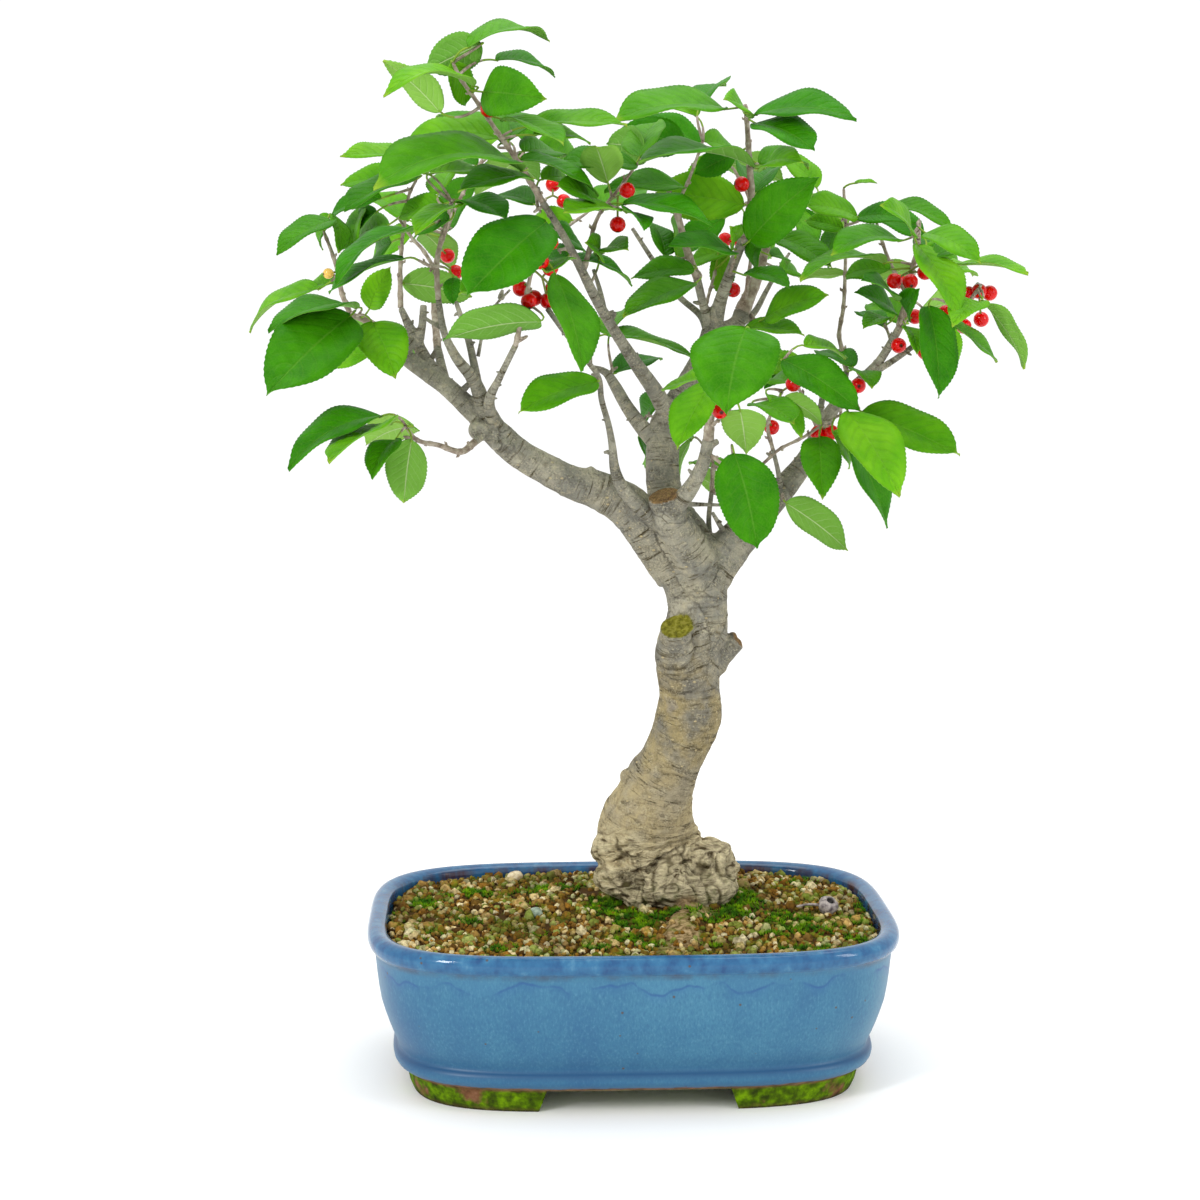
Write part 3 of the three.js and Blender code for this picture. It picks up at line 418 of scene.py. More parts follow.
# Swellings: centre, half sizes
burlList = [
  [[-4, 84, 15], [11, 12, 9]], [[-1, 73, 8], [12.5, 12, 9]], [[16, 71, 20], [26, 22, 15]], [[29.5, 77, 17],
  [11, 14, 11]], [[33, 70, 14], [9, 12, 8]], [[14, 70, 3], [15, 10, 9]], [[28, 68, 8], [13, 12, 8]], [[12, 70, 38],
  [18, 12, 9]], [[18, 160, -1], [8.5, 7, 11]], [[-1, 112, 13], [3.4, 3.5, 3.6]], [[34, 156.5, 8], [3.4, 4, 5.4]],
  [[38.8, 166, 8], [1.8, 3, 1.8]], [[41, 162.6, 8], [1.6, 3, 2.6]], [[-56.5, 244.5, -8], [4.4, 4.6, 4.2]],
  [[-47.5, 238.5, -8], [4.6, 4, 3]], [[-15, 223, 1], [3.2, 7.6, 7.8]], [[-83, 277, -9], [3.4, 3.4, 3]],
]
# Limbs and branches: x, height, depth, radius
branchList = [
  # main limb to the left
  [[18, 190, 5, 9], [12, 199, 4, 9], [5, 209, 3, 8.8], [-3, 217, 2, 8.2], [-13, 222, 1, 7.3], [-22, 225, -1, 6.3],
   [-32, 230, -2, 5.8], [-42, 236, -3, 5.6], [-49, 242, -4, 5.4], [-56, 249, -5, 4.4], [-62.5, 255, -6, 3.8],
   [-69, 261, -7, 3.5], [-76, 266, -8, 3.3], [-84, 272, -9, 3], [-91, 280, -13, 2.3]],
  # middle limb at the back
  [[24, 194, 8, 10], [21, 204, 11, 9], [15, 214, 14, 7.6], [12, 226, 16, 6.6], [12, 238, 18, 6.4], [13, 246, 20, 6],
   [17, 254, 22, 5.2], [23, 264, 24, 4.6], [28, 274, 26, 4.4], [31, 283, 28, 4]],
  # short limb in front, sawn off
  [[25, 194, -1, 9], [20, 203, -6, 7.4], [15, 212, -10, 6.6], [12.5, 220, -13, 6.2]],
  # limb to the right
  [[29, 189, 4, 9], [36, 198, 5, 8], [44, 207, 6, 6.8], [52, 216, 8, 5.6], [60, 225, 10, 4.6], [66, 233, 12, 3.8],
   [71, 243, 14, 3.2], [76, 252, 15, 2.8], [83, 260, 15, 2.4], [91, 267, 14, 2.2], [96, 274, 12, 2.1],
   [101, 283, 9, 2]],
  # sawn stubs on the trunk
  [[32, 157, 8, 5.4], [36.5, 161, 8, 4.4], [40.5, 164.5, 8, 3.8]],
  [[19, 156, 2, 8.5], [18.4, 163, -2, 7.2], [17.6, 170, -7, 6.4]],
  # root that runs forward under the soil
  [[17, 66, 6, 6], [21, 59, -6, 3.6], [19, 54.5, -20, 2.6]],
  # stems of the left crown, with their forks and stubs
  [[-70, 262, -6, 3], [-76, 270, -2, 2.8], [-81, 280, 2, 2.4], [-85.5, 290, 5, 1.7]],
  [[-79, 276, 0, 2.2], [-77.5, 284, 2, 2], [-77, 291, 3, 1.9]],
  [[-50, 244, -4, 4], [-55, 254, -8, 3.2], [-58.5, 263, -12, 2.7], [-65, 271.5, -16, 2.3], [-69.5, 281, -20, 1.9],
   [-71.5, 293, -22, 1.7]],
  [[-57, 259, -10, 2.4], [-58.5, 269, -4, 2], [-61, 280, 2, 1.8], [-65, 292, 8, 1.3]],
  [[-51, 246, -6, 3], [-53, 255, -14, 2.4], [-49, 264, -22, 1.8], [-43, 276, -32, 1.6]],
  [[-64, 258, -6, 2], [-60, 262, -9, 1.6], [-57, 263.5, -12, 1.5]],
  [[-57, 272, -1, 1.2], [-55, 281, -2, 0.9], [-51, 290, -4, 0.8], [-45, 296.5, -6, 0.7]],
  [[-53, 245, -6, 2.6], [-58.5, 240, -14, 2]],
  # the forked twig in front of the middle
  [[16, 206, -5, 4.6], [8, 212, -9, 3.6], [2, 217, -11, 3], [-3.5, 223.5, -13, 2.7], [-6, 230, -15, 2.3],
   [-7, 239, -18, 1.9], [-8.5, 247, -21, 1.7], [-11, 256, -25, 1.6], [-12, 264, -28, 1.5], [-17, 271, -32, 1.4],
   [-25, 281, -37, 1.3], [-31, 289.5, -41, 1.5]],
  # dark fork and long stem from the middle limb
  [[10, 239, 18, 3.6], [3, 247, 20, 3], [-2, 254, 24, 2.7], [-6, 261, 28, 2.5], [-9.5, 266, 31, 2],
   [-15, 268, 35, 1.4]],
  [[14, 250, 19, 3.8], [9, 259, 14, 3.2], [2, 269, 8, 2.8], [-4, 278, 2, 2.5], [-9, 286, -5, 2.4],
   [-14, 295, -13, 2.3], [-19.5, 306, -22, 2.1], [-26, 318, -30, 1.9], [-33, 329, -38, 1.8]],
  # stems of the upper crown
  [[31, 281, 28, 3.4], [33, 291, 24, 2.8], [37, 303, 18, 2.4], [42, 316, 12, 2.3]],
  [[30, 281, 29, 2.6], [27, 291, 25, 2.2], [24.5, 301, 20, 2.1]],
  [[29, 281, 30, 2.4], [26, 287, 36, 1.9], [18, 294, 43, 1.7], [8.5, 307, 52, 1.5], [0.5, 319, 58, 1.2]],
  [[31, 280, 30, 3.4], [39.5, 284, 32, 3.2], [41.5, 288.5, 33, 3.2]],
  [[40, 283.5, 33, 2.2], [46, 288, 38, 1.8], [50.5, 296, 44, 1.5], [55, 304, 50, 1.2], [59, 310, 54, 0.9]],
  # right crown
  [[90, 265, 14, 2], [99, 270.5, 10, 1.7], [106, 275.5, 6, 1.6]],
  [[79, 256, 15, 1.8], [81, 266, 21, 1.6]],
  # thin twigs under the right crown
  [[30, 202, 10, 1.8], [29.5, 211, 14, 1.5], [30.5, 221, 16, 1.4]],
  [[57, 220, 8, 2], [55.5, 229, 0, 1.4], [53.5, 237, -5, 1.3]],
  [[13.5, 213, -10, 4.4], [18.5, 217.5, -15, 3.6], [23.5, 224, -20, 3], [27.5, 232.5, -25, 2.7],
   [29.2, 241, -29, 2.5]],
  [[18, 216.5, -13, 1.8], [27, 216.3, -8, 1.2], [36, 216, -3, 0.9]],
  [[38, 202, 6, 1.9], [34, 208, 1, 1.5], [31, 213, -4, 1.1]],
  # stems that carry the back of the crown
  [[-69, 261, -5, 2.4], [-72, 275, 14, 2.1]],
  [[-2, 275, 4, 2.2], [-9, 286, 16, 2], [-14, 295, 28, 1.9]],
  [[31, 282, 32, 2.2], [33, 291, 44, 2.1]],
  [[41, 286, 36, 2], [44, 294, 48, 1.8]],
  [[84, 261, 17, 2], [91, 268, 30, 1.9]],
  [[70, 243, 14, 2], [72, 256, 32, 1.8]],
  [[-84, 272, -7, 2], [-92, 276, 10, 1.7]],
]
# Short dead stubs on the limbs
stubList = [
  [[-71, 283, -20, 1.5], [-74, 284.5, -14, 1.2], [-77, 286.5, -8, 1]],
  [[-10, 289, -6, 1.6], [-11.5, 296, -4, 1.4], [-14, 304, -2, 1.1]],
  [[-33, 328, -37, 1.3], [-34.5, 334, -39, 1.1]],
  [[28, 234, -25, 2.4], [30, 238.5, -28, 2], [32.5, 240, -30, 1.6]],
]
# Dents, knots and cuts: x, height, depth, reach, rise of the surface, how dark the mark is painted from 0 to 1
markList = [
  [-3, 75, -3, 5.5, -3.2, 0.9], [-7.5, 89, 3, 3, -1, 0.8], [27, 191, -6.5, 2.4, 0.5, 0.9],
  [23, 99, 1, 3.5, -0.7, 0.5], [30, 83, -2, 5, -1.6, 0.5], [14, 86, -1, 4, -1.2, 0.45], [5, 70, -7, 4, -1.1, 0.5],
  [40, 75, 6, 4, -1.5, 0.6], [22, 78, -5, 2.6, 1, 0.3], [38, 84, 14, 4, 1, 0.2], [-57.5, 243, -11, 3.2, -0.4, 0.7],
  [-47.2, 237.6, -11, 2.2, -0.4, 0.7], [-63.7, 265, -6, 2, 0.3, 0.6], [-83, 278, -11, 3, -0.3, 0.6],
  [-12.5, 221, -7, 2.2, 0.2, 0.4], [-16, 215.5, -6, 1.6, 0.4, 0.5], [-22, 227, -6, 1.4, 0.3, 0.5],
  [-35, 233, -7, 1.3, 0.3, 0.5], [15, 167.5, -7, 2.4, -0.4, 0.6], [12.8, 164, -5, 1.6, 0.5, 0.5],
  [38, 167.5, 6, 2, -0.3, 0.8], [41.2, 163.5, 6, 2, -0.3, 0.7], [34.5, 161, 2, 1.8, -0.5, 0.7],
  [31, 199, -3, 1.6, 0.4, 0.4], [57, 219, 5, 1.8, 0.3, 0.6], [70, 240, 11, 2, 0.3, 0.5],
]
# Wrinkles in front, as seen: the line through (x, height), half width, depth, and how dark the painted shade along it
# is
creaseList = [
  [[[24, 100.8], [26, 96.3], [28.2, 91], [24, 88.6], [19.6, 87], [14.3, 84.6], [10.6, 81], [6.5, 75]], 0.9, 1.3,
  0.75], [[[23.3, 90.3], [18, 88], [12, 86.9], [6, 86.9]], 0.6, 0.5, 0.45], [[[21, 85], [15.5, 82.6], [11.2, 79.6],
  [7, 74.6]], 0.8, 1.5, 0.9], [[[16.6, 82.8], [12, 80.5], [9, 76.8]], 0.5, 0.7, 0.7], [[[27.8, 90.6], [21, 87.2],
  [15, 85], [9, 83.5], [3.8, 83.9], [-1, 82.4], [-5, 79]], 0.7, 0.8, 0.6], [[[3.8, 81.2], [3, 76.7], [1.6, 72.3],
  [2.3, 67.8]], 1.5, 1.9, 0.85], [[[21, 78.6], [25.6, 74.1]], 0.8, 1.1, 0.95], [[[21, 78.6], [19.5, 81.4]], 0.5, 0.6,
  0.6], [[[21, 78.6], [24.2, 80]], 0.5, 0.5, 0.5], [[[21, 78.6], [17.8, 75.8]], 0.6, 0.6, 0.5], [[[21, 78.6],
  [22.4, 73.6]], 0.5, 0.5, 0.5], [[[31.4, 81.4], [33, 75.2], [36.8, 70.8]], 1, 1.3, 0.6], [[[36.8, 87.2], [39, 82.8],
  [38.3, 76]], 0.9, 1, 0.5], [[[28, 86], [31, 84.5], [34, 85.5]], 0.6, 0.6, 0.4], [[[27, 82], [29.5, 79], [28.8, 75]],
  0.6, 0.6, 0.4], [[[-4.8, 83.5], [-0.6, 85.4], [1.6, 85]], 1, 1, 0.7], [[[-12.6, 79.8], [-9.6, 73], [-5.8, 68.5]],
  1.1, 1, 0.6], [[[9, 73], [10, 69.5], [7.5, 66.4]], 0.7, 0.8, 0.5], [[[5, 73.8], [4, 67.8], [7.6, 64]], 0.8, 0.8,
  0.5], [[[15, 75.3], [14.4, 70.8], [11.4, 67.8]], 0.7, 0.8, 0.5], [[[17, 71], [21, 69.5], [25, 70.5]], 0.7, 0.7,
  0.4], [[[13.6, 100], [16.6, 101.9], [21, 100.8]], 0.6, 0.5, 0.6], [[[6, 88], [12.8, 88.8], [19.6, 89.9],
  [24.1, 94]], 0.5, 0.4, 0.35], [[[-1.2, 111], [-3.5, 108], [-5.4, 102], [-9, 97]], 0.7, 0.5, 0.4], [[[15.5, 181],
  [22, 181.4], [28, 181], [34.5, 180.6]], 0.5, 0.45, 0.6], [[[17, 179.2], [25, 178.6], [34, 179.2]], 0.4, 0.3, 0.4],
  [[[20.4, 175.2], [24, 177], [30, 177.3], [35.6, 176.5]], 0.5, 0.45, 0.5], [[[20.8, 174.6], [24.5, 170.5],
  [30.5, 167.9], [36, 167.1]], 0.5, 0.5, 0.5], [[[24, 167.4], [24.8, 161.5], [23, 155.5], [18.5, 153.2], [13, 153.6],
  [10.4, 157]], 0.8, 0.8, 0.75], [[[11, 145.4], [18, 144.2], [25, 144.6], [31, 145]], 0.5, 0.4, 0.4], [[[19, 141.2],
  [26, 141], [32, 142]], 0.5, 0.35, 0.4], [[[26, 133], [31, 131.2]], 0.5, 0.4, 0.5], [[[19, 121.6], [23, 123.4],
  [27, 121.8], [28.5, 124]], 0.5, 0.5, 0.5], [[[8, 137], [11, 135.4], [14, 136]], 0.4, 0.3, 0.4], [[[9.5, 116.5],
  [17, 114.8], [23.5, 112.4]], 0.5, 0.4, 0.4], [[[11, 113.5], [18, 112], [24, 109.2]], 0.5, 0.35, 0.35],
]
# Where the foot is caked with clay: x, height, depth, reach
clayList = [[22, 59.5, -6, 6.5], [19, 55, -20, 9]]
# Sawn faces: x, height, depth, radius, where the cut looks, and whether it is old and green
cutList = [[17.6, 170.2, -7.4, 6.6, (-0.1, -0.58, 0.81), True], [12.5, 220.3, -13.2, 6.4, (-0.3, -0.38, 0.87), False],
           [40.8, 165, 8, 4, (0.6, 0, 0.8), False]]


def barkPaint():
    # old winterberry bark: khaki and grey, dull, with fine rings, pale breathing pores and a wrinkled root flare
    material, skin = newMaterial("winterberryBark")
    spot = objectSpot(skin)
    x, y, z = axesOf(spot)
    flare, girth = readValue(skin, "flare"), readValue(skin, "girth")
    ringSpot = fed("ShaderNodeCombineXYZ", {0: times(x, 90), 1: times(y, 90), 2: readValue(skin, "run")})
    rings = fed("ShaderNodeTexNoise", {"Scale": 0.8, "Detail": 5, "Roughness": 0.68, "Vector": ringSpot})
    ringed = rampOf(cloudOf(spot, 8, 2), (0.38, 0.15), (0.52, 1.0))
    rough = rampOf(cloudOf(stretched(spot, 1, 1, 1.6), 7, 3), (0.42, 0.25), (0.58, 1.0))
    # wrinkles flow sideways, and run out from the scar in the middle of the flare
    fromStar = vectorMaths("SUBTRACT", spot, Vector(place(*woodSettings["star"])) * mm)
    starGap = vectorMaths("LENGTH", fromStar, output=1)
    radial = vectorMaths("MULTIPLY_ADD", vectorMaths("NORMALIZE", fromStar), (0.011,) * 3,
                         stretched(fromStar, 0.12, 0.12, 0.12))
    starNear = rampOf(times(starGap, 60), (0.3, 1.0), (0.8, 0.0))
    ridges = {"noise_type": "RIDGED_MULTIFRACTAL", "Scale": 290, "Detail": 6, "Roughness": 0.55, "Lacunarity": 2.1,
              "Offset": 0.9, "Gain": 2.2, "Distortion": 0.7}
    flowing, starred = (fed("ShaderNodeTexNoise", {**ridges, "Vector": flow})
                        for flow in (stretched(spot, 0.5, 0.5, 1.6), radial))
    wrinkles = times(fed("ShaderNodeMix", {0: starNear, 2: flowing, 3: starred}), 0.6)
    blots, cloudy = cloudOf(spot, 11, 4), cloudOf(spot, 3.2, 4, 0.65)
    fine, crumbs = cloudOf(spot, 0.75, 4, 0.7), cloudOf(spot, 0.4, 2)
    # greyer above, paler at the foot, and on young limbs
    lift = times(z, 5)
    upper = rampOf(plus(lift, times(cloudy, 0.3)), (0.9, 0.0), (1.0, 0.75))
    khaki = rampOf(blots, (0.3, "#6a675f"), (0.42, "#807b6c"), (0.52, "#918566"), (0.62, "#9e8f66"), (0.75, "#888070"))
    old = coated(khaki, (upper, rampOf(blots, (0.3, "#6f6f69"), (0.5, "#8b8a80"), (0.7, "#a19d8c"))),
                 (rampOf(lift, (0.5, 0.45), (0.64, 0.0)), "#c4b48e"))
    young = rampOf(blots, (0.3, "#747268"), (0.5, "#8f8c7f"), (0.7, "#aeaa99"))
    pore = times(specksOf(stretched(spot, 1, 1, 1.5), 4.2, 0.7, (0.13, 1.0), (0.19, 0.0)),
                 rampOf(girth, (0.25, 0.3), (0.9, 1.0)))
    paint = coated(
        mixPaint(rampOf(girth, (0.2, 1.0), (0.8, 0.0)), old, young),
        # cloudy darker and paler places, dark rings, dark and pale crumbs
        (rampOf(cloudy, (0.3, 0.55), (0.46, 0.0)), "#5a523c"),
        (rampOf(cloudy, (0.54, 0.0), (0.7, 0.5)), "#bab092"),
        (times(rampOf(rings, (0.36, 1.0), (0.47, 0.0)), ringed, minus(1.0, flare)), "#463e2b"),
        (times(rampOf(fine, (0.34, 0.6), (0.47, 0.0)), rough), "#3c3422"),
        (times(rampOf(fine, (0.55, 0.0), (0.66, 0.5)), rough), "#ddd3b2"),
        # the flare: pale, its ridges paler, and painted shade darkens its wrinkles
        (times(flare, 0.45), "#bfae86"),
        (times(rampOf(wrinkles, (0.42, 0.0), (0.82, 0.8)), flare), "#dfd2aa"),
        (times(rampOf(wrinkles, (0.1, 0.95), (0.38, 0.0)), flare), "#3c2f18"),
        # painted shade: darker in the sunken grooves and seams of the flare
        (rampOf(readValue(skin, "cavity"), (0.62, 0.0), (0.98, 0.75)), "#463a1e"),
        (times(pore, 0.8), "#cbb98e"),
        # dark marks at knots and dents, and painted shade along the front creases
        (times(readValue(skin, "stain"), rampOf(fine, (0.45, 1.0), (0.6, 0.35))), "#2c2315"),
        # green damp, clay at the foot, fresh and old cuts
        (times(readValue(skin, "damp"), rampOf(cloudOf(spot, 5, 3), (0.46, 0.0), (0.64, 0.8))), "#4c5420"),
        (readValue(skin, "clay"), rampOf(cloudOf(spot, 2.5, 5), (0.35, "#5f4c2e"), (0.6, "#9c8460"))),
        (readValue(skin, "sawn"), rampOf(fine, (0.35, "#4f3a22"), (0.6, "#8c6f48"))),
        (readValue(skin, "green"),
         rampOf(cloudOf(spot, 1.6, 3), (0.35, "#55520f"), (0.5, "#7b771f"), (0.62, "#8d8836"))))
    finishSkin(skin, paint, 0.85, 0.18)
    height = plus(times(rings, ringed, 1.2), times(fine, rough, 1.1), times(wrinkles, flare, 1.6),
                  plus(times(crumbs, 0.4), times(pore, 0.8)))
    liftSkin(skin, height, 0.7, 1.0)
    return material


def slender(radius):  # twigs are thinner than their solids, which need a safe thickness
    return radius * (0.62 + 0.38 * smoothStep(1.0, 3.4, radius))


def woodRuns():  # every limb as a smooth path: x, y, z, half width, half depth
    runs = [smoothPath(placed(trunkStations), woodSettings["spacing"])]
    for rows in branchList + stubList:
        path = smoothPath(placed(rows), woodSettings["spacing"])
        path[:, 3] = slender(path[:, 3])
        runs.append(np.column_stack([path, path[:, 3]]))
    return runs


def knob(dice):  # a small knob somewhere on the root flare
    turn, rise = dice.uniform(0, fullTurn), dice.uniform(*woodSettings["knobRise"])
    reach = woodSettings["knobReach"] - 0.55 * max(0, rise - 73)
    size = dice.uniform(*woodSettings["knobSize"])
    middle = place(14, rise, 19)
    return blob([middle[0] + (reach + 1) * math.cos(turn), middle[1] + (reach - 4) * math.sin(turn), rise],
                [size, size, size * 0.8], 7, 10)


def joinedWood(shapes):  # the shapes as one skin: its points, normals and faces
    source = addObject("woodSource", newMesh("woodSource", *stacked(shapes), scale=1))
    remesh = source.modifiers.new("join", "REMESH")
    remesh.mode, remesh.voxel_size = "VOXEL", woodSettings["voxel"]
    soften = source.modifiers.new("soften", "SMOOTH")
    soften.factor, soften.iterations = woodSettings["softness"], woodSettings["softTurns"]
    joined = freshMesh(source)
    bpy.data.objects.remove(source)
    spots, normals = np.zeros((2, len(joined.vertices) * 3))
    joined.vertices.foreach_get("co", spots)
    joined.vertices.foreach_get("normal", normals)
    return spots.reshape(-1, 3), normals.reshape(-1, 3), [tuple(face.vertices) for face in joined.polygons]


def limbAt(runs, spots):  # how far along its limb each point is, and how thick the limb is there
    stations = [(row, number * woodSettings["runShift"] + step) for number, run in enumerate(runs)
                for row, step in zip(run, lengthsAlong(run))]
    finder = KDTree(len(stations))
    for index, (row, _) in enumerate(stations):
        finder.insert(row[:3], index)
    finder.balance()
    runLength, girth = np.zeros((2, len(spots)))
    for k, spot in enumerate(spots):
        index = finder.find(spot)[1]
        row, step = stations[index]
        following = stations[min(index + 1, len(stations) - 1)][0][:3] - row[:3]
        size = np.linalg.norm(following)
        isSameLimb = 0 < size < 4
        runLength[k] = step + ((spot - row[:3]) @ following / size if isSameLimb else 0)
        girth[k] = row[3]
    return runLength, girth


def gapTo(spots, x, z, depth):
    return np.linalg.norm(spots - place(x, z, depth), axis=1)


def creased(spots, normals, rise, stain):  # the wrinkles that show in front: sunk into the surface, with painted shade along them
    shift = standpoint.y / (standpoint.y - spots[:, 1])
    seen = np.column_stack([standpoint.x + (spots[:, 0] - standpoint.x) * shift,
                            standpoint.z + (spots[:, 2] - standpoint.z) * shift])
    seen = seen + 0.5 * np.column_stack([grainOf(spots, 2.2, 14), grainOf(spots, 2.2, 15)])
    front = smoothStep(-0.02, 0.25, -normals[:, 1]) * smoothStep(30, 15, spots[:, 1])
    for line, wide, deep, dark in creaseList:
        line, away = np.array(line), np.full(len(spots), 99.0)
        for start, stop in zip(line[:-1], line[1:]):
            share = np.clip((seen - start) @ (stop - start) / ((stop - start) @ (stop - start)), 0, 1)
            away = np.minimum(away, np.linalg.norm(seen - start - share[:, None] * (stop - start), axis=1))
        near = np.exp(-(away / wide) ** 2) * front
        beside = np.exp(-((away - 2.2 * wide) / wide) ** 2) * front
        rise = rise + (0.3 * deep * beside - deep * near)
        stain = np.maximum(stain, 0.85 * dark * smoothStep(0.3, 0.95, near))
    return rise, stain


def woodSkin(thick, dice):  # trunk and thicker limbs, with their relief and what the bark reads
    shapes = []
    for run in thick:
        isTrunk = run[:, 3].max() > woodSettings["trunkFrom"]
        shapes.append(tube(run, woodSettings["trunkSides" if isTrunk else "limbSides"]))
    shapes += [blob(place(*centre), half, *woodSettings["burlRings"]) for centre, half in burlList]
    shapes += [knob(dice) for _ in range(woodSettings["knobs"])]
    spots, normals, faces = joinedWood(shapes)
    print("wood joined:", len(faces), "faces")
    runLength, girth = limbAt(thick, spots)
    flare = smoothStep(woodSettings["flareFrom"], woodSettings["flareFull"], spots[:, 2] + 6 * grainOf(spots, 9, 16))
    big = smoothStep(2.5, 9, girth)
    rings = grainOf(np.column_stack([spots[:, 0] / 11, spots[:, 1] / 11, runLength / woodSettings["ringSize"]]), 1, 3)
    warp = np.column_stack([grainOf(spots, 12, seed) for seed in (4, 5, 6)])
    groove = np.clip(1 - 6.5 * np.abs(grainOf(spots + warp * 11, 8.5, 8)), 0, 1)
    seam = np.clip(1 - 4.5 * np.abs(grainOf(spots * [1, 1, 1.6] + warp * 8, 4, 9)), 0, 1)
    rise = woodSettings["ringHeight"] * rings * (0.35 + 0.65 * big) * (1 - 0.6 * flare)
    rise += woodSettings["lumpHeight"] * grainOf(spots, 9, 11) * big
    rise += 0.25 * grainOf(spots, 3, 12) * big
    rise += flare * (0.25 + 0.6 * grainOf(spots, 5.5, 18) - woodSettings["swirlHeight"] * groove - 0.38 * seam)
    # how much painted shade each point gets, highest where grooves and seams sink the flare
    cavity = np.clip(0.4 + 0.55 * flare * groove + 0.4 * flare * seam - 0.25 * (1 - flare) * rings, 0, 1)
    rise, stain = creased(spots, normals, rise, np.zeros(len(spots)))
    clay, sawn, green = np.zeros((3, len(spots)))
    for *spot, reach in clayList:
        clay = np.maximum(clay, smoothStep(1.1, 0.6, gapTo(spots, *spot) / reach))
    for *spot, reach, lift, dark in markList:
        near = np.exp(-(gapTo(spots, *spot) / reach) ** 2)
        rise += lift * near
        stain = np.maximum(stain, dark * smoothStep(0.35, 0.85, near))
    for *spot, radius, facing, isOld in cutList:
        away = gapTo(spots, *spot) + 0.9 * grainOf(spots, 1.8, 17)
        facing = np.array(Vector(facing).normalized())
        flat = smoothStep(radius + 0.6, radius - 0.8, away) * smoothStep(0.35, 0.7, np.abs(normals @ facing))
        green, sawn = (np.maximum(green, flat), sawn) if isOld else (green, np.maximum(sawn, flat))
        rise = rise * (1 - 0.8 * flat)
    return partOf((spots + normals * rise[:, None], faces), run=runLength, girth=girth / 12, cavity=cavity,
                  stain=stain * 0.8, sawn=sawn, green=green, damp=smoothStep(80, 60, spots[:, 2]),
                  flare=flare, clay=clay)


def thinPart(run):
    sides, length = woodSettings["thinSides"], len(run) * woodSettings["spacing"]
    steps = np.append(np.repeat(np.linspace(0, length, len(run)), sides), [0, length])
    girth = np.append(np.repeat(run[:, 3], sides), [run[0, 3], run[-1, 3]]) / 12
    return partOf(tube(run, sides), run=steps, girth=girth, cavity=0.45)


def spurParts(runs, dice):  # short dead spurs along the thinner limbs
    parts = []
    for run in runs[1:]:
        step = dice.randint(2, 5)
        while step < len(run) - 2:
            radius = run[step, 3]
            if radius < woodSettings["spurThickest"]:
                along = unit(run[step + 1, :3] - run[step - 1, :3])
                out = unit(np.cross(along, [dice.uniform(-1, 1), dice.uniform(-1, 1), dice.uniform(-1, 1)]))
                size = dice.uniform(0.55, 0.95) * (1.6 if dice.random() < 0.25 else 1)
                start = run[step, :3] + out * radius * 0.7
                path = [start, start + (out + along * 0.3) * size,
                        start + (out * 1.4 + along * dice.uniform(-0.2, 1)) * size * 1.5]
                spur = tube(np.column_stack([path, [0.95 * size, 0.7 * size, 0.4 * size]]), 6)
                parts.append(partOf(spur, girth=0.15, cavity=0.6, stain=0.12))
            step += max(2, int(woodSettings["spurGap"] * dice.uniform(0.6, 1.6) / woodSettings["spacing"]))
    return parts


def woodPiece():
    dice = random.Random(woodSettings["seed"])
    runs = woodRuns()
    thick = [run for run in runs if run[:, 3].min() >= woodSettings["thinnest"]]
    thin = [run for run in runs if run[:, 3].min() < woodSettings["thinnest"]]
    parts = [woodSkin(thick, dice)] + [thinPart(run) for run in thin] + spurParts(runs, dice)
    piece = makePiece("trunk_and_limbs", parts, [barkPaint()],
                      ("run", "girth", "cavity", "stain", "sawn", "green", "damp", "flare", "clay"))
    lighter = piece.modifiers.new("lighter", "DECIMATE")  # fewer faces where the bark is smooth
    lighter.ratio = woodSettings["kept"]
    settle(piece)
    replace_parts(piece, "trunk_and_branches")
    print("trunk and limbs made:", len(piece.data.polygons), "faces")


woodPiece()


# Leafy sprays: slender stems with buds, and leaves on stalks

leafSettings = {
  "slenderness": 0.52, "fold": 0.26, "thickness": 0.34, "toothPitch": 1.35, "toothDepth": 0.36, "toothLean": 0.45,
  "veins": 8.5, "veinSweep": 2.1, "quilt": 0.3, "wave": 0.75, "usualWidth": 18, "stalk": 6.0, "greenStalk": 7.5,
  "stalkRadius": 0.42, "twigRadius": 0.62, "across": 4, "pointFrom": 0.955, "blunt": (0.52, 0.85), "seed": 21,
}
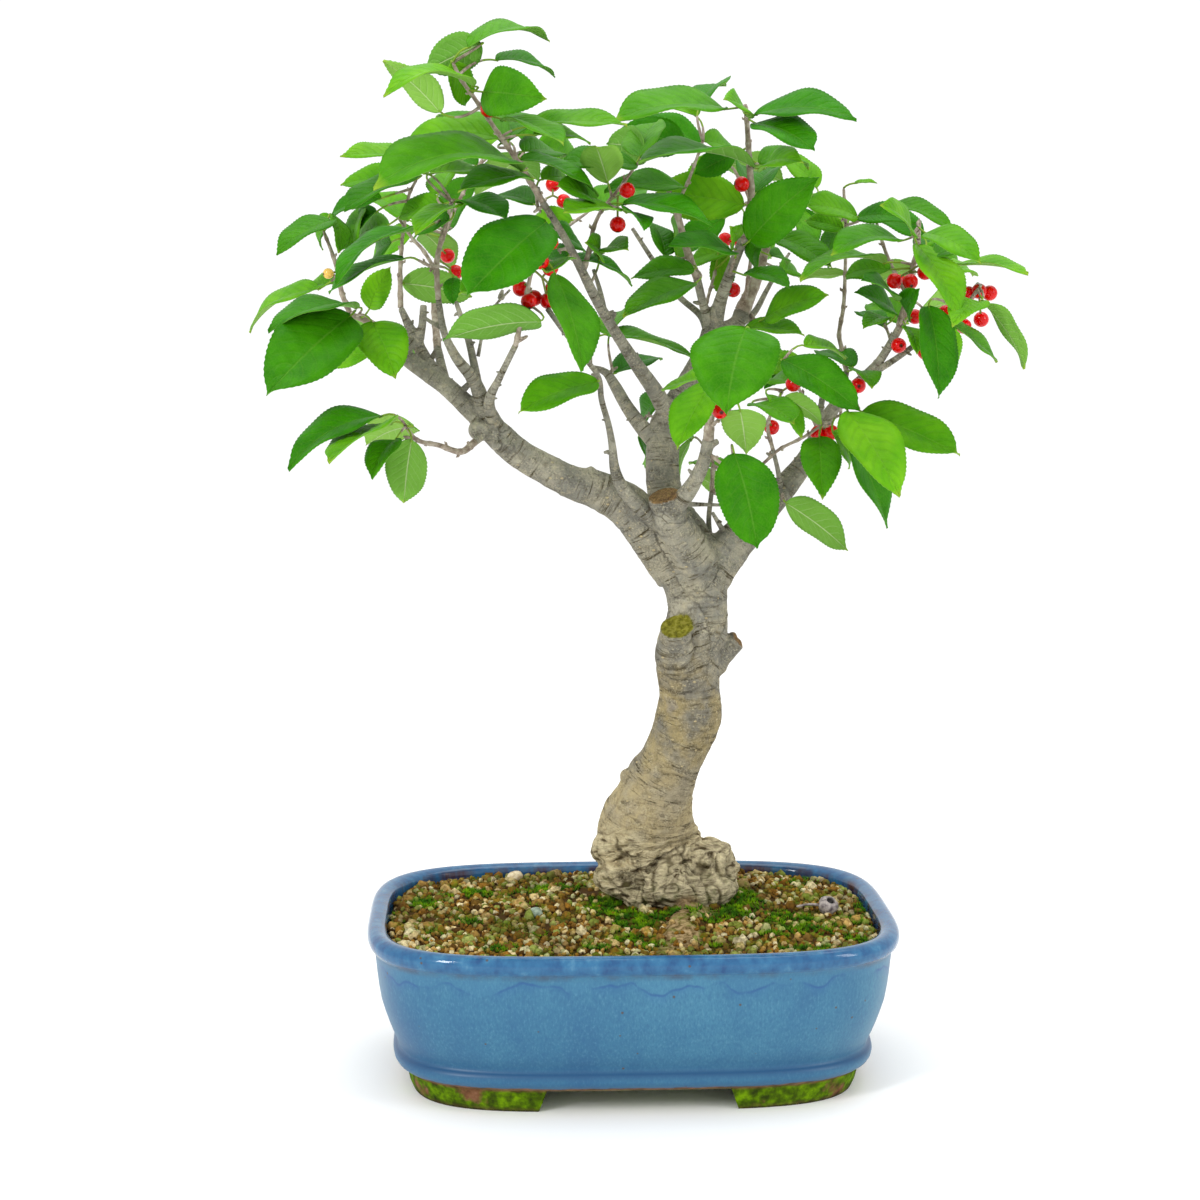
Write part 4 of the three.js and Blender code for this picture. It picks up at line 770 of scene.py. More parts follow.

# Each spray: its stems (x, height, depth, radius) and its leaves as base and tip (x, height, depth), width seen
# (below 0 with the underside in front), rise of the midrib, how light: partly the leaf's tone, partly painted light and
# shade. A small leaf may also hang on a limb.
sprayList = [
  # upper part of the long stem
  {"stems": [[[-33, 329, -38, 1.7], [-41, 342, -46, 1.5], [-50, 355, -52, 1.3], [-57.5, 366, -57, 1.2],
     [-62.5, 373, -60, 1.1], [-65.5, 379, -62, 1]]],
   "leaves": [[-60, 384.5, -64, -30, 387, -46, 3, 5], [-70, 361, -56, -91, 379.5, -62, -10],
     [-54.5, 368.5, -64, -31, 366, -84, 17], [-50, 380, -49, -28, 374, -36, 3, 2.5],
     [-48, 351.5, -44, -84, 349.5, -34, 9, 4], [-46, 351, -38, -72, 359, -14, 7, 3],
     [-40, 340, -56, -95, 334, -92, 12, 9], [-37, 337, -52, -64, 332, -72, 7, 3],
     [-47, 358.5, -60, -25, 349.5, -80, 5, 2], [-38, 356, -49, -1.5, 356.5, -52, 6, 2],
     [-40, 347, -32, -26, 345, -8, 5]],
   "small": [[-55, 386, -61, -75.5, 376, -52, -14], [-66, 379, -58, -61, 363.5, -44, 9],
     [-57.5, 370.5, -66, -91, 367, -84, 4, 6], [-48, 350, -36, -31, 360, -12, 8], [-36, 353, -52, -15, 350, -42, 4],
     [-41, 344.5, -38, -12, 331, -34, 4, 3]]},
  # fork between the long stem and the middle
  {"stems": [[[-18, 303, -20, 1.7], [-15.5, 311, -19, 1.4], [-14, 319, -18, 1.2], [-11, 325.5, -16, 1.1],
     [-5, 333, -14, 1], [1, 341, -12, 0.9]]],
   "leaves": [[3, 345, -9, 10, 358, 18, 12], [-8.7, 336, -26, -13, 349, -48, -15, 2, 0.9],
     [-3, 328, -33, 30.5, 320, -46, 7, 3, 0], [-10.5, 310, -12, -1, 311, -34, 5],
     [-22, 307.5, -17, 0.5, 298, -8, 3, 3]],
   "small": [[4.5, 348, -5, -9, 350, 20, -14], [2, 342, -14, -27, 342, -28, 8], [-12, 327, -26, -27.5, 334.5, -44, 6],
     [-6, 326, -30, -25, 325, -56, 5, 1], [-2, 325, -30, 5, 318.5, -50, 4], [-12, 308.5, -14, -17, 314, -32, 5]]},
  # end of the left limb and its outer twig
  {"stems": [[[-91, 280, -13, 2.4], [-97, 284.5, -16, 1.9], [-104, 287.5, -20, 1.5]], [[-104, 287.5, -20, 1.5],
     [-107, 295, -16, 1.4], [-108.5, 303, -12, 1.3], [-110.5, 310, -8, 1.1], [-113.5, 318, -4, 0.9]]],
   "leaves": [[-110, 322, -4, -131, 309.5, -22, 8], [-115, 297, -7, -141.5, 281, 8, 4, 4],
     [-103, 310, 0, -98, 328, 14, 6], [-104, 287, -34, -135.5, 257.5, -72, 25],
     [-96, 284.5, -29, -87.5, 264, -46, 18]],
   "small": [[-110, 324, 0, -108, 310, -10, 6], [-111, 324, 2, -114, 311, 14, 3], [-110, 299, -8, -122, 294, 8, 4],
     [-101.5, 290, -28, -134.5, 281, -52, 6, 4], [-97, 289.5, -24, -89, 305, -34, 10]]},
  # top of the second stem on the left
  {"stems": [[[-85.5, 290, 5, 1.6], [-85.5, 303, 8, 1.3], [-84.5, 317, 10, 1]], [[-84.5, 316, 10, 1.1],
     [-82, 331, 3, 0.95], [-79, 337, -2, 0.8]]],
   "leaves": [[-78, 338, -8, -106, 325.5, -26, 7], [-90, 320, 2, -104, 312, 26, 6], [-85, 299, 11, -59, 294, 6, -13],
     [-88.5, 314, 16, -94, 308, 40, 6]],
   "small": [[-78, 343, -6, -107, 345.3, -24, 6, 2], [-82, 336, 0, -107, 334.5, 6, 8],
     [-92, 330, -2, -111, 323.5, 8, 6, 2], [-94, 325, 2, -105, 314, 18, 5]]},
  # top of the third stem on the left
  {"stems": [[[-71.5, 293, -22, 1.6], [-72, 305, -24, 1.4], [-70.5, 314, -26, 1.3], [-68, 322, -28, 1.1],
     [-66.5, 329, -30, 1]], [[-72, 303, -23, 1.2], [-77, 311, -16, 1.1], [-81, 315.5, -10, 1], [-86, 323, -4, 0.9]],
     [[-72, 304, -24, 1.1], [-79, 307.5, -38, 0.8]]],
   "leaves": [[-77, 318.5, -42, -109.5, 299, -62, 5, 5], [-84, 308, -42, -112, 295.5, -56, 4, 2],
     [-62, 329, -40, -46, 322, -64, 8], [-71, 332, -16, -60, 345, 8, 5]],
   "small": [[-67, 322, -38, -80, 316, -20, 6], [-66, 301, -34, -66, 291, -38, 6],
     [-74, 339, -38, -50, 339, -24, 4, 1], [-76, 339, -42, -88, 337, -60, 3, 3], [-64, 327, -38, -80, 317, -62, 6],
     [-69, 328, -18, -86, 322.5, -8, 8]]},
  # front stem on the left, with its blunt side twig
  {"stems": [[[-43, 276, -32, 1.5], [-40, 289, -40, 1.3], [-36.5, 306, -46, 1.1]], [[-43, 277, -32.5, 1.3],
     [-38.5, 279.5, -34, 1]], [[-36.5, 305, -46, 1.1], [-33, 317, -57, 0.8]]],
   "leaves": [[-31.5, 321.5, -60, -61, 294, -92, 23], [-42, 303, -52, -64, 295, -66, 6],
     [-28, 302, -55, -18, 266.5, -78, 14, 2, 0.3], [-33.5, 285, -47, -70, 278, -34, -12, 2]],
   "small": [[-31, 303, -54, -21, 308, -40, 3, 1]]},
  # low shoot on the left
  {"stems": [[[-58.5, 240, -14, 1.9], [-63.5, 236.5, -22, 1.7], [-72, 239, -32, 1.4], [-80, 241, -40, 1.2],
     [-84, 246, -44, 1]], [[-80, 241, -40, 1], [-85, 242.3, -43, 0.8]]],
   "leaves": [[-93, 250, -52, -128, 230, -66, 10, 5], [-82, 241, -48, -85, 217.5, -66, -15]],
   "small": [[-89, 247.5, -50, -113, 232.5, -84, 6, 2], [-81, 246, -44, -99, 239, -22, -11],
     [-88, 241, -54, -97, 226.5, -72, 9]]},
  # from the end of the forked twig in front
  {"stems": [[[-12, 263.5, -28, 1.1], [-15, 260.5, -38, 0.8]]],
   "leaves": [[-12.5, 262.5, -36, -42, 251, -52, 12]]},
  # from the dark fork in the middle
  {"stems": [[[-9, 265, 30, 1.1], [-5, 268, 39, 0.8]]],
   "leaves": [[-6, 265.5, 40, 11, 271, 62, 7], [-8, 280, 38, -2, 289, 62, 8]],
   "small": [[-9, 280, 36, 24.5, 270.5, 40, 3.5, 2]]},
  # from the middle limb
  {"stems": [[[13, 248, 20, 1.1], [6, 250, 32, 0.8]]],
   "leaves": [[11, 257, 32, 4.5, 246, 52, 7], [3, 242, 36, 4.5, 231.5, 52, 3]]},
  # on the long stem, lower part
  {"stems": [[[-23, 312, -26, 1.1], [-27, 311, -14, 0.8]]],
   "leaves": [[-31, 318, -12, -17.5, 310.5, 8, 6], [-23, 309, -14, -37, 303, 4, 5]]},
  # on the long stem, above
  {"stems": [[[-33, 327, -37, 1.1], [-36, 325, -27, 0.8]]],
   "leaves": [[-36, 328, -24, -53, 329.5, -4, 5], [-33, 337, -26, -21, 335, -8, 5]]},
  # upper crown, slender stem and its brown twig
  {"stems": [[[24.5, 301, 20, 2], [20.5, 312, 14, 1.9], [17.5, 323, 10, 1.7], [13.5, 334, 6, 1.5]],
     [[18, 321, 11, 1.2], [18, 329, 14, 1.1], [21, 336, 17, 1], [24, 344, 20, 0.9], [26.5, 351, 22, 0.9]]],
   "leaves": [[20, 349.5, 32, -5, 355, 40, 15], [20, 334, 16, -10, 332.5, 2, 8, 2],
     [23.5, 304, 12, 0, 300.5, 16, 8, 2], [24, 299, 6, -3, 286.5, -8, 10, 2], [12.5, 309, 22, 7, 321.5, 44, 8]],
   "small": [[25, 363, 26, 35, 371.5, 52, 6, 3], [24, 360, 27, 6, 368, 48, 8], [27, 351, 23, 40, 344, 42, 5],
     [17, 309, 20, 16, 322, 42, 7]]},
  # upper crown, tallest stem
  {"stems": [[[42, 316, 12, 2.2], [44.5, 329, 8, 1.9], [44, 341, 4, 1.7], [43.2, 352, 1, 1.5], [42.3, 364, -2, 1.3]]],
   "leaves": [[45, 342, -10, 2.5, 342.5, -36, 3, 5], [49, 341, -8, 64, 343, -30, 7, 3],
     [47, 343, -2, 66, 341, 12, 5, 4], [34.5, 362.5, -12, -6.5, 358.5, -34, 10, 4],
     [45.5, 360.5, -14, 83.5, 359, -28, 9, 4], [46, 357.5, -14, 68, 347.5, -40, 10, 2],
     [42, 328, 20, 9, 332, 34, 19, 2, 1.2], [46, 332, 14, 54, 341, 36, 8], [44, 314.5, -6, 70, 338, -26, 19]],
   "small": [[38.5, 346.5, 4, 23.5, 339, 6, 10], [42, 361, -8, 34, 366, -28, 4], [45, 331, 18, 38, 343.5, 44, 6]]},
  # side twig of the tallest stem
  {"stems": [[[37, 302, 18, 1.1], [38.5, 308, 4, 0.8]]],
   "leaves": [[38.5, 310, 2, 14, 313, -18, 7, 2], [42, 302, 10, 59.5, 297, -4, 6, 3]],
   "small": [[37, 313, 6, 37, 320, -14, 5]]},
  # behind the middle stems
  {"stems": [[[27.5, 289, 26, 1.1], [31.5, 304, 38, 0.8]]],
   "leaves": [[37, 311, 38, 21, 306, 52, 8]],
   "small": [[33, 311, 40, 33.5, 294.5, 48, 10]]},
  # stem right of the middle and its fork
  {"stems": [[[41.5, 288.5, 33, 3.1], [44, 294, 34, 2.8], [48, 304, 37, 2.4], [51, 316, 40, 1.9]],
     [[42.5, 291, 33, 1.4], [44, 303, 28, 1.2], [45.5, 314, 24, 1]]],
   "leaves": [[54.5, 316, 25, 75, 304.5, 8, 10, 2]],
   "small": [[46, 305, 18, 49, 317, 8, 6], [52, 309, 26, 58, 306, 38, 2], [56, 304, 44, 62.5, 301, 62, 4]]},
  # dark leaves in front of the middle stems
  {"stems": [[[45, 287, 37, 1.1], [47.5, 284, 24, 0.8]]],
   "leaves": [[50, 286, 20, 74, 294.5, 2, 11]],
   "small": [[42, 282, 24, 65, 279.5, 12, 6, 2]]},
  # end of the bare front limb
  {"stems": [[[29.2, 241, -29, 2.4], [30, 250, -33, 2], [32.5, 258, -38, 1.4]], [[29.5, 245, -31, 1.1],
     [37, 252, -50, 0.8]], [[37, 252, -50, 1.1], [45, 280, -82, 0.8]]],
   "leaves": [[30, 262, -47, 17.5, 237, -66, 14], [43, 282.5, -86, 36, 250, -106, 30]],
   "small": [[29.5, 264.5, -42, 12, 259, -24, 4, 1], [41, 252, -52, 43.5, 235, -38, -16]]},
  # large leaf under the bare limb
  {"stems": [[[30, 235, -27, 1.1], [36, 231, -34, 0.9], [38.5, 235.5, -40, 0.8]]],
   "leaves": [[39, 235.5, -54, 48, 199.5, -66, 22]]},
  # grey twig under the right crown
  {"stems": [[[53.5, 237, -5, 1.2], [51.5, 246, -9, 1.1], [54.5, 254, -14, 0.9], [57, 259, -18, 0.8]]],
   "leaves": [[46, 254, -28, 61.5, 246.5, -54, 8]],
   "small": [[51, 257.5, -26, 64.5, 241.5, -40, 6], [57, 256, -22, 72, 246.5, -32, -7]]},
  # brown twig under the right crown
  {"stems": [[[30.5, 221, 16, 1.3], [31, 232, 18, 1.1]], [[30.5, 221, 16, 1.1], [40, 226, 8, 1], [49, 231, 0, 1],
     [56, 237, -6, 0.95], [65, 241.5, -12, 0.9], [72, 246, -16, 0.8], [79, 250, -20, 0.8]], [[31, 231, 18, 1.1],
     [36.5, 228, 29, 0.8]]],
   "leaves": [[34, 220, 28, 24.5, 227, 50, -8], [23, 241, 34, 18.5, 226, 52, -5],
     [71, 241.5, -30, 72.5, 218, -48, 15], [82, 251, -34, 102, 219, -62, 19]],
   "small": [[36, 228.5, 30, 22, 231.5, 46, 4], [80, 244.5, -26, 97.5, 207, -30, 11],
     [76, 243.5, -22, 82.5, 229.5, -12, 5]]},
  # low on the right limb
  {"stems": [[[57, 221, 8, 1.1], [58, 217.5, -6, 0.8]]],
   "leaves": [[58.5, 217, -8, 82.5, 198.5, -22, -12.5]]},
  # in front of the right limb's fork
  {"stems": [[[82, 259, 15, 1.1], [86, 252, 2, 0.8]]],
   "leaves": [[87, 251, -2, 124.5, 234.5, -18, 15]]},
  # hanging from the right limb
  {"stems": [[[71, 243, 14, 1.1], [62, 262, -8, 0.95], [57, 270, -16, 0.8]]],
   "leaves": [[57, 270.5, -20, 86, 251.5, -36, 14, 2, 0.2], [60, 262, -4, 52, 262, 20, 5]],
   "small": [[65, 276, -12, 80.5, 270.5, 4, 3, 2]]},
  # upright stem of the right crown
  {"stems": [[[81, 266, 21, 1.5], [79, 275, 25, 1.4], [78, 280, 27, 1.3], [79.5, 290, 29, 1.2], [80, 304, 31, 1.1],
     [80, 319, 33, 1], [79, 334, 35, 0.9]]],
   "leaves": [[83, 268, 12, 70, 273, 36, 6, 2], [84, 323.5, 16, 64.5, 327.5, 2, 9]],
   "small": [[85, 266, 6, 91, 260, -16, 7], [84, 323, 18, 106, 321, 8, 8, 3], [79, 319, 24, 64.5, 322, 30, 7],
     [83, 335.8, 32, 91.5, 335.8, 28, 1.2, 0.5], [77, 319, 42, 74, 305, 60, 5], [81, 302, 34, 65, 300.5, 46, -4, 1]]},
  # side shoot of the right limb
  {"stems": [[[98, 277, 11, 1.1], [95, 284, 20, 0.8]]],
   "leaves": [[94.5, 283, 20, 84.5, 287.5, 38, 5], [99, 288, 14, 83.5, 295.5, -2, 7]],
   "small": [[95.5, 286, 17, 87, 282, 4, 6]]},
  # end of the right limb and its fork
  {"stems": [[[101, 283, 9, 2.2], [103.5, 293, 6, 1.9], [105, 303, 3, 1.6], [107, 312, 0, 1.4],
     [107.5, 322, -3, 1.2]], [[103.5, 295, 6, 1.5], [98.5, 303, 11, 1.3], [94.5, 312, 16, 1.1], [91, 323, 20, 0.9]],
     [[106.5, 309, 1, 1.1], [115, 306, 14, 0.8]]],
   "leaves": [[99, 293, -8, 86, 300, -26, 3], [95, 306.5, 2, 63, 300, -14, 4, 5],
     [100.5, 314.5, -14, 74.5, 309.5, -30, 8, 4], [96, 327.5, 22, 120.5, 318, 12, 6, 3],
     [110, 317.5, -16, 131, 306, -38, 10, 3], [107, 313, -14, 122.5, 287, -36, 12, 2, 0.95],
     [118, 305, 4, 149, 302.5, -16, 3, 2]],
   "small": [[104, 287, -4, 108, 297, -22, 7], [97, 304, 6, 80, 301.5, 22, 8], [105, 317, -10, 93, 328, -30, 5],
     [113, 309, -18, 128, 309, -8, 4], [120, 304, 18, 128, 301.5, 34, 3]]},
  # outer twig of the right crown
  {"stems": [[[106, 275.5, 6, 1.5], [113, 281, 2, 1.4], [120, 286.5, -2, 1.2], [126, 291.5, -6, 1.1],
     [131.5, 298.5, -8, 0.9]]],
   "leaves": [[133, 291, -20, 148.5, 267, -34, -6, 2], [111.5, 290.5, -15, 116, 256, -28, 14, 2, 0.1],
     [118, 285, -10, 138, 269.5, -2, 4, 1]],
   "small": [[131, 292, -22, 120.5, 283, -42, 10], [103, 283, -10, 107.5, 272.5, -22, 6]]},
  # back of the left crown
  {"stems": [[[-72, 275, 14, 2], [-73, 292, 28, 1.7], [-72, 308, 42, 1.4], [-66, 324, 54, 1.2], [-60, 336, 64, 1]]],
   "leaves": [[-58, 336, 68, -70, 318, 90, 12], [-82, 322, 54, -99, 332, 76, 9], [-76, 317, 50, -66, 304, 72, -12]],
   "small": [[-57, 342, 70, -82, 350, 88, 10, 3], [-52, 349, 72, -44, 362, 96, 10], [-50, 345, 72, -34, 336, 96, -10],
     [-80, 318, 54, -96, 305, 70, 8]]},
  # back of the middle
  {"stems": [[[-14, 295, 28, 1.8], [-19.5, 306, 40, 1.6], [-26, 318, 52, 1.4], [-33, 329, 62, 1.2],
     [-42, 343, 72, 1]], [[-26, 318, 52, 1.1], [-16, 325, 64, 0.8]]],
   "leaves": [[-40, 345, 76, -58, 330, 100, -12], [-14, 326, 66, 6, 333, 88, 10], [-22, 322, 60, -42, 312, 84, 14]],
   "small": [[-34, 350, 82, -20, 343, 106, 12], [-38, 349, 80, -50, 365, 90, 8]]},
  # back of the upper crown
  {"stems": [[[33, 291, 44, 2], [37, 303, 56, 1.7], [42, 316, 68, 1.4], [44, 329, 76, 1.2], [38, 341, 82, 1]],
     [[44, 329, 76, 1.1], [36, 324, 92, 0.8]]],
   "leaves": [[32, 346, 86, 24, 327, 106, 14, 2, 1], [35, 323, 94, 18, 312, 108, 12],
     [42, 325, 86, 52, 308, 104, 10]],
   "small": [[26, 349, 86, 4, 360, 94, 10], [36, 343, 84, 57, 336, 100, -12]]},
  # back of the upper crown, right stem
  {"stems": [[[44, 294, 48, 1.7], [48, 304, 58, 1.5], [53, 317, 68, 1.3], [60, 328, 78, 1]]],
   "leaves": [[66, 331, 82, 80, 316, 102, -12], [62, 326, 84, 68, 310, 96, 10]],
   "small": [[69, 334, 84, 54, 347, 100, 9], [61, 327, 80, 66, 310, 60, 10]]},
  # back of the right crown
  {"stems": [[[91, 268, 30, 1.8], [97, 275, 42, 1.6], [102, 285, 54, 1.4], [104, 298, 66, 1.1], [106, 308, 74, 1]]],
   "leaves": [[105, 305, 74, 90, 296, 96, -12], [110, 311, 80, 117, 316, 108, 9], [113, 285, 68, 122, 266, 78, 12],
     [104, 284, 58, 88, 291, 78, 9]],
   "small": [[109, 316, 82, 92, 325, 98, 10], [108, 311, 78, 124, 303, 94, 10], [108, 287, 64, 124, 292, 84, -9]]},
  # back of the right crown, low
  {"stems": [[[72, 256, 32, 1.7], [73, 264, 48, 1.4], [68, 268, 62, 1.1]]],
   "leaves": [[64, 267, 70, 78, 258, 92, 12], [64, 270, 66, 46, 266, 56, 10]],
   "small": [[58, 269, 76, 40, 274, 94, 12], [68, 269, 66, 50, 260, 52, 10]]},
  # back of the left limb
  {"stems": [[[-92, 276, 10, 1.6], [-95, 275, 28, 1.3], [-92, 279, 44, 1]]],
   "leaves": [[-96, 273, 58, -120, 270, 74, 12], [-90, 277, 50, -80, 268, 74, 8]],
   "small": [[-92, 277, 50, -90, 270, 80, 8], [-95, 278, 50, -112, 284, 62, -10]]},
]


def leafPaint():
    # holly-family leaf: satin green skin with sunken veins, the underside paler, dull, its veins pale
    material, skin = newMaterial("winterberryLeaf")
    spot = objectSpot(skin)
    along, across, _ = axesOf(addNode(skin.id_data, "ShaderNodeUVMap", {"uv_map": "surfaceMap"}).outputs[0])
    hand = minus(across, 0.5)
    side = times(maths("ABSOLUTE", hand), 2)  # 0 on the midrib, 1 at the edge
    sweep = times(maths("POWER", side, 1.2), leafSettings["veinSweep"])
    phase = plus(minus(times(along, leafSettings["veins"]), sweep), times(maths("GREATER_THAN", hand, 0), 0.5),
                 times(cloudOf(spot, 6, 2), 0.5))
    near = maths("ABSOLUTE", minus(maths("FRACT", plus(phase, 10)), 0.5))
    fade = rampOf(side, (0.0, 1.0), (0.6, 0.7), (0.9, 0.0))
    vein = times(rampOf(near, (0.43, 0.0), (0.49, 1.0)), fade)
    hollow = times(rampOf(near, (0.25, 0.0), (0.5, 1.0)), fade)
    rib = rampOf(side, (0.012, 1.0), (0.045, 0.0))
    net = fed("ShaderNodeTexVoronoi", {"feature": "DISTANCE_TO_EDGE", "Scale": 1 / (1.3 * mm), "Vector": spot})
    netLine = rampOf(net, (0.0, 1.0), (0.1, 0.0))
    # the tone: a leaf's own green, and for leaves given a value also painted light and shade
    blots, tint, isUnder = cloudOf(spot, 10, 3), readValue(skin, "tint"), readValue(skin, "under")
    dark, light = rampOf(blots, (0.3, "#226600"), (0.7, "#348000")), rampOf(blots, (0.3, "#4f9608"), (0.7, "#6fae16"))
    top = coated(mixPaint(rampOf(tint, (0.15, 0.0), (0.95, 1.0)), dark, light),
                 # painted shade: darker along the sunken vein furrows
                 (times(hollow, 0.22), "#1d5a06"), (times(vein, 0.08), "#7fb53c"),
                 (times(rib, 0.14), "#86b848"), (times(netLine, 0.08), "#7fb53c"))
    under = coated(mixPaint(tint, "#5f9834", "#86b64a"),
                   (times(netLine, 0.12), "#9cc274"), (times(vein, 0.4), "#a8cb80"), (times(rib, 0.8), "#c0d79a"))
    tip = times(rampOf(along, (0.93, 0.0), (1.0, 0.7)), maths("GREATER_THAN", tint, 0.3))
    paint = coated(mixPaint(isUnder, top, under), (tip, "#9db43a"), (readValue(skin, "stalk"), "#7d9c34"))
    finishSkin(skin, paint, mixPaint(isUnder, 0.42, 0.65), 0.1, 1.42)
    liftSkin(skin, plus(times(netLine, -0.2), times(hollow, -0.9), times(rib, -0.8)), 0.2, 0.8)
    return material


def twigPaint():
    # young shoots: thin grey-brown bark with pale breathing pores
    material, skin = newMaterial("winterberryShoot")
    spot = objectSpot(skin)
    pores = cloudOf(spot, 0.55, 2)
    paint = coated(rampOf(cloudOf(spot, 2.6, 4), (0.32, "#6c5c4e"), (0.5, "#928474"), (0.68, "#b2a898")),
                   (rampOf(pores, (0.62, 0.0), (0.72, 0.7)), "#c9bfa8"))
    finishSkin(skin, paint, 0.68)
    liftSkin(skin, pores, 0.15, 0.7)
    return material


def leafFrame(entry):  # where a leaf starts, its three directions, its length, width and arch
    base, tip = Vector(place(*entry[:3])), Vector(place(*entry[3:6]))
    along, length = (tip - base).normalized(), (tip - base).length
    width = max(leafSettings["slenderness"] * length, abs(entry[6]) * 1.02)
    toViewer = (standpoint - base).normalized()
    toViewer = (toViewer - along * toViewer.dot(along)).normalized()
    level = along.cross(toViewer)
    if level.z < 0:
        level.negate()
    turn = math.asin(entry[6] / width)
    normal = level * math.cos(turn) + toViewer * math.sin(turn)
    directions = [np.array(v) for v in (base, along, normal, normal.cross(along))]
    return *directions, length, width, entry[7] if len(entry) > 7 else 2


def sheetFaces(rows, columns):  # an upper and a lower grid, closed along their edges
    count, faces = rows * columns, []
    for first in range(0, count - columns, columns):
        last = first + columns - 1
        for a in range(first, last):
            b = count + a
            faces += [(a, a + columns, a + columns + 1, a + 1), (b, b + 1, b + columns + 1, b + columns)]
        faces += [(first, count + first, count + first + columns, first + columns),
                  (last, last + columns, count + last + columns, count + last)]
    for a in range(columns - 1):
        b = count - columns + a
        faces += [(a, a + 1, count + a + 1, count + a), (b, count + b, count + b + 1, b + 1)]
    return faces


def leafPart(entry, dice):
    base, along, normal, side, length, width, arch = leafFrame(entry)
    steps = 2 * int(min(26, max(12, length / leafSettings["toothPitch"]))) + 1
    s = np.linspace(0, 1, steps)
    tooth = ((np.arange(steps) % 2) * smoothStep(0.08, 0.2, s))[:, None]
    s, u = np.meshgrid(s, np.linspace(-1, 1, 2 * leafSettings["across"] + 1), indexing="ij")
    away, edge = np.abs(u), np.abs(u) ** 6
    s = np.clip(s + edge * tooth * (leafSettings["toothLean"] / steps), 0, 1)
    low, high = dice.uniform(0.5, 0.62), dice.uniform(*leafSettings["blunt"])  # how blunt the base is and the tip
    fullness = ((low + high) / low) ** low * ((low + high) / high) ** high
    body = np.clip(s / leafSettings["pointFrom"], 0, 1)  # the rest is the drawn-out point
    point = 0.16 * np.clip((1 - s) / 0.07, 0, 1) * (s > 0.9)
    outline = np.maximum(fullness * body ** low * (1 - body) ** high, point)
    full = np.maximum(0.5 * width * outline, 0.3 - 0.15 * s)
    half = full * away + edge * tooth * leafSettings["toothDepth"] * smoothStep(1, 0.93, s)
    phase = s * leafSettings["veins"] - away ** 1.2 * leafSettings["veinSweep"] + (u > 0) * 0.5
    size = width / leafSettings["usualWidth"]
    quilt = leafSettings["quilt"] * size * (0.5 - 0.5 * np.cos(fullTurn * phase)) * away * (1 - away) * 4
    quilt *= smoothStep(0.02, 0.2, s) * smoothStep(1, 0.8, s)
    sway = dice.uniform(0, fullTurn)
    wave = leafSettings["wave"] * size * np.sin(fullTurn * 1.6 * s + sway + (u > 0) * 1.9) * u ** 2
    bend = dice.uniform(-0.02, 0.02) * length * np.sin(math.pi * s)
    fold = leafSettings["fold"]
    rise = arch * 4 * s * (1 - s) + half * math.sin(fold) * (1.25 - 0.45 * away) + quilt + wave
    sideways = np.sign(u) * half * math.cos(fold) + bend
    middle = base + along * (length * s)[..., None] + side * sideways[..., None] + normal * rise[..., None]
    thick, rib = leafSettings["thickness"] / 2, (away < 0.01) * (1 - 0.8 * s)
    upper = middle + normal * (thick - 0.12 * rib)[..., None]
    lower = middle - normal * (thick + 0.3 * rib)[..., None]
    points = np.vstack([upper.reshape(-1, 3), lower.reshape(-1, 3)])
    uv = np.column_stack([np.tile(s.ravel(), 2), np.tile(u.ravel() / 2 + 0.5, 2)])
    # a random tone unless one is given; a given one is partly the leaf's tone and partly painted light and shade
    tint = dice.random() ** 1.1
    return partOf((points, sheetFaces(*s.shape)), uv=uv, under=np.repeat([0.0, 1.0], s.size),
                  tint=entry[8] if len(entry) > 8 else tint)


def nearestOn(lines, spot):
    best, gap = None, math.inf
    for line in lines:
        start, step = line[:-1, :3], np.diff(line[:, :3], axis=0)
        share = np.clip(np.sum((spot - start) * step, axis=1) / np.maximum(np.sum(step ** 2, axis=1), 1e-9), 0, 1)
        points = start + step * share[:, None]
        away = np.linalg.norm(points - spot, axis=1)
        if away.min() < gap:
            best, gap = points[away.argmin()], away.min()
    return best


def stalkParts(entry, lines):  # a thin twig where the stem is far, then the green stalk
    base, along = leafFrame(entry)[:2]
    foot = nearestOn(lines, base - along * leafSettings["stalk"])
    gap = np.linalg.norm(base - foot)
    bend = base - along * min(0.5 * gap, 7)
    t = np.linspace(0, 1, max(5, int(gap / 1.6)))[:, None]
    path = (1 - t) ** 2 * foot + 2 * t * (1 - t) * bend + t ** 2 * (base + along * 1.2)
    split = int(np.argmax(gap * (1 - t[:, 0]) <= leafSettings["greenStalk"]))
    thin = leafSettings["stalkRadius"]
    parts = []
    if split > 1:
        radius = np.linspace(leafSettings["twigRadius"], thin, split + 1)
        parts.append(partOf(tube(np.column_stack([path[:split + 1], radius]), 6), paint=1))
    start = max(0, split - 1)
    radius = np.linspace(thin, thin * 0.8, len(path) - start)
    parts.append(partOf(tube(np.column_stack([path[start:], radius]), 6), stalk=1.0))
    return parts


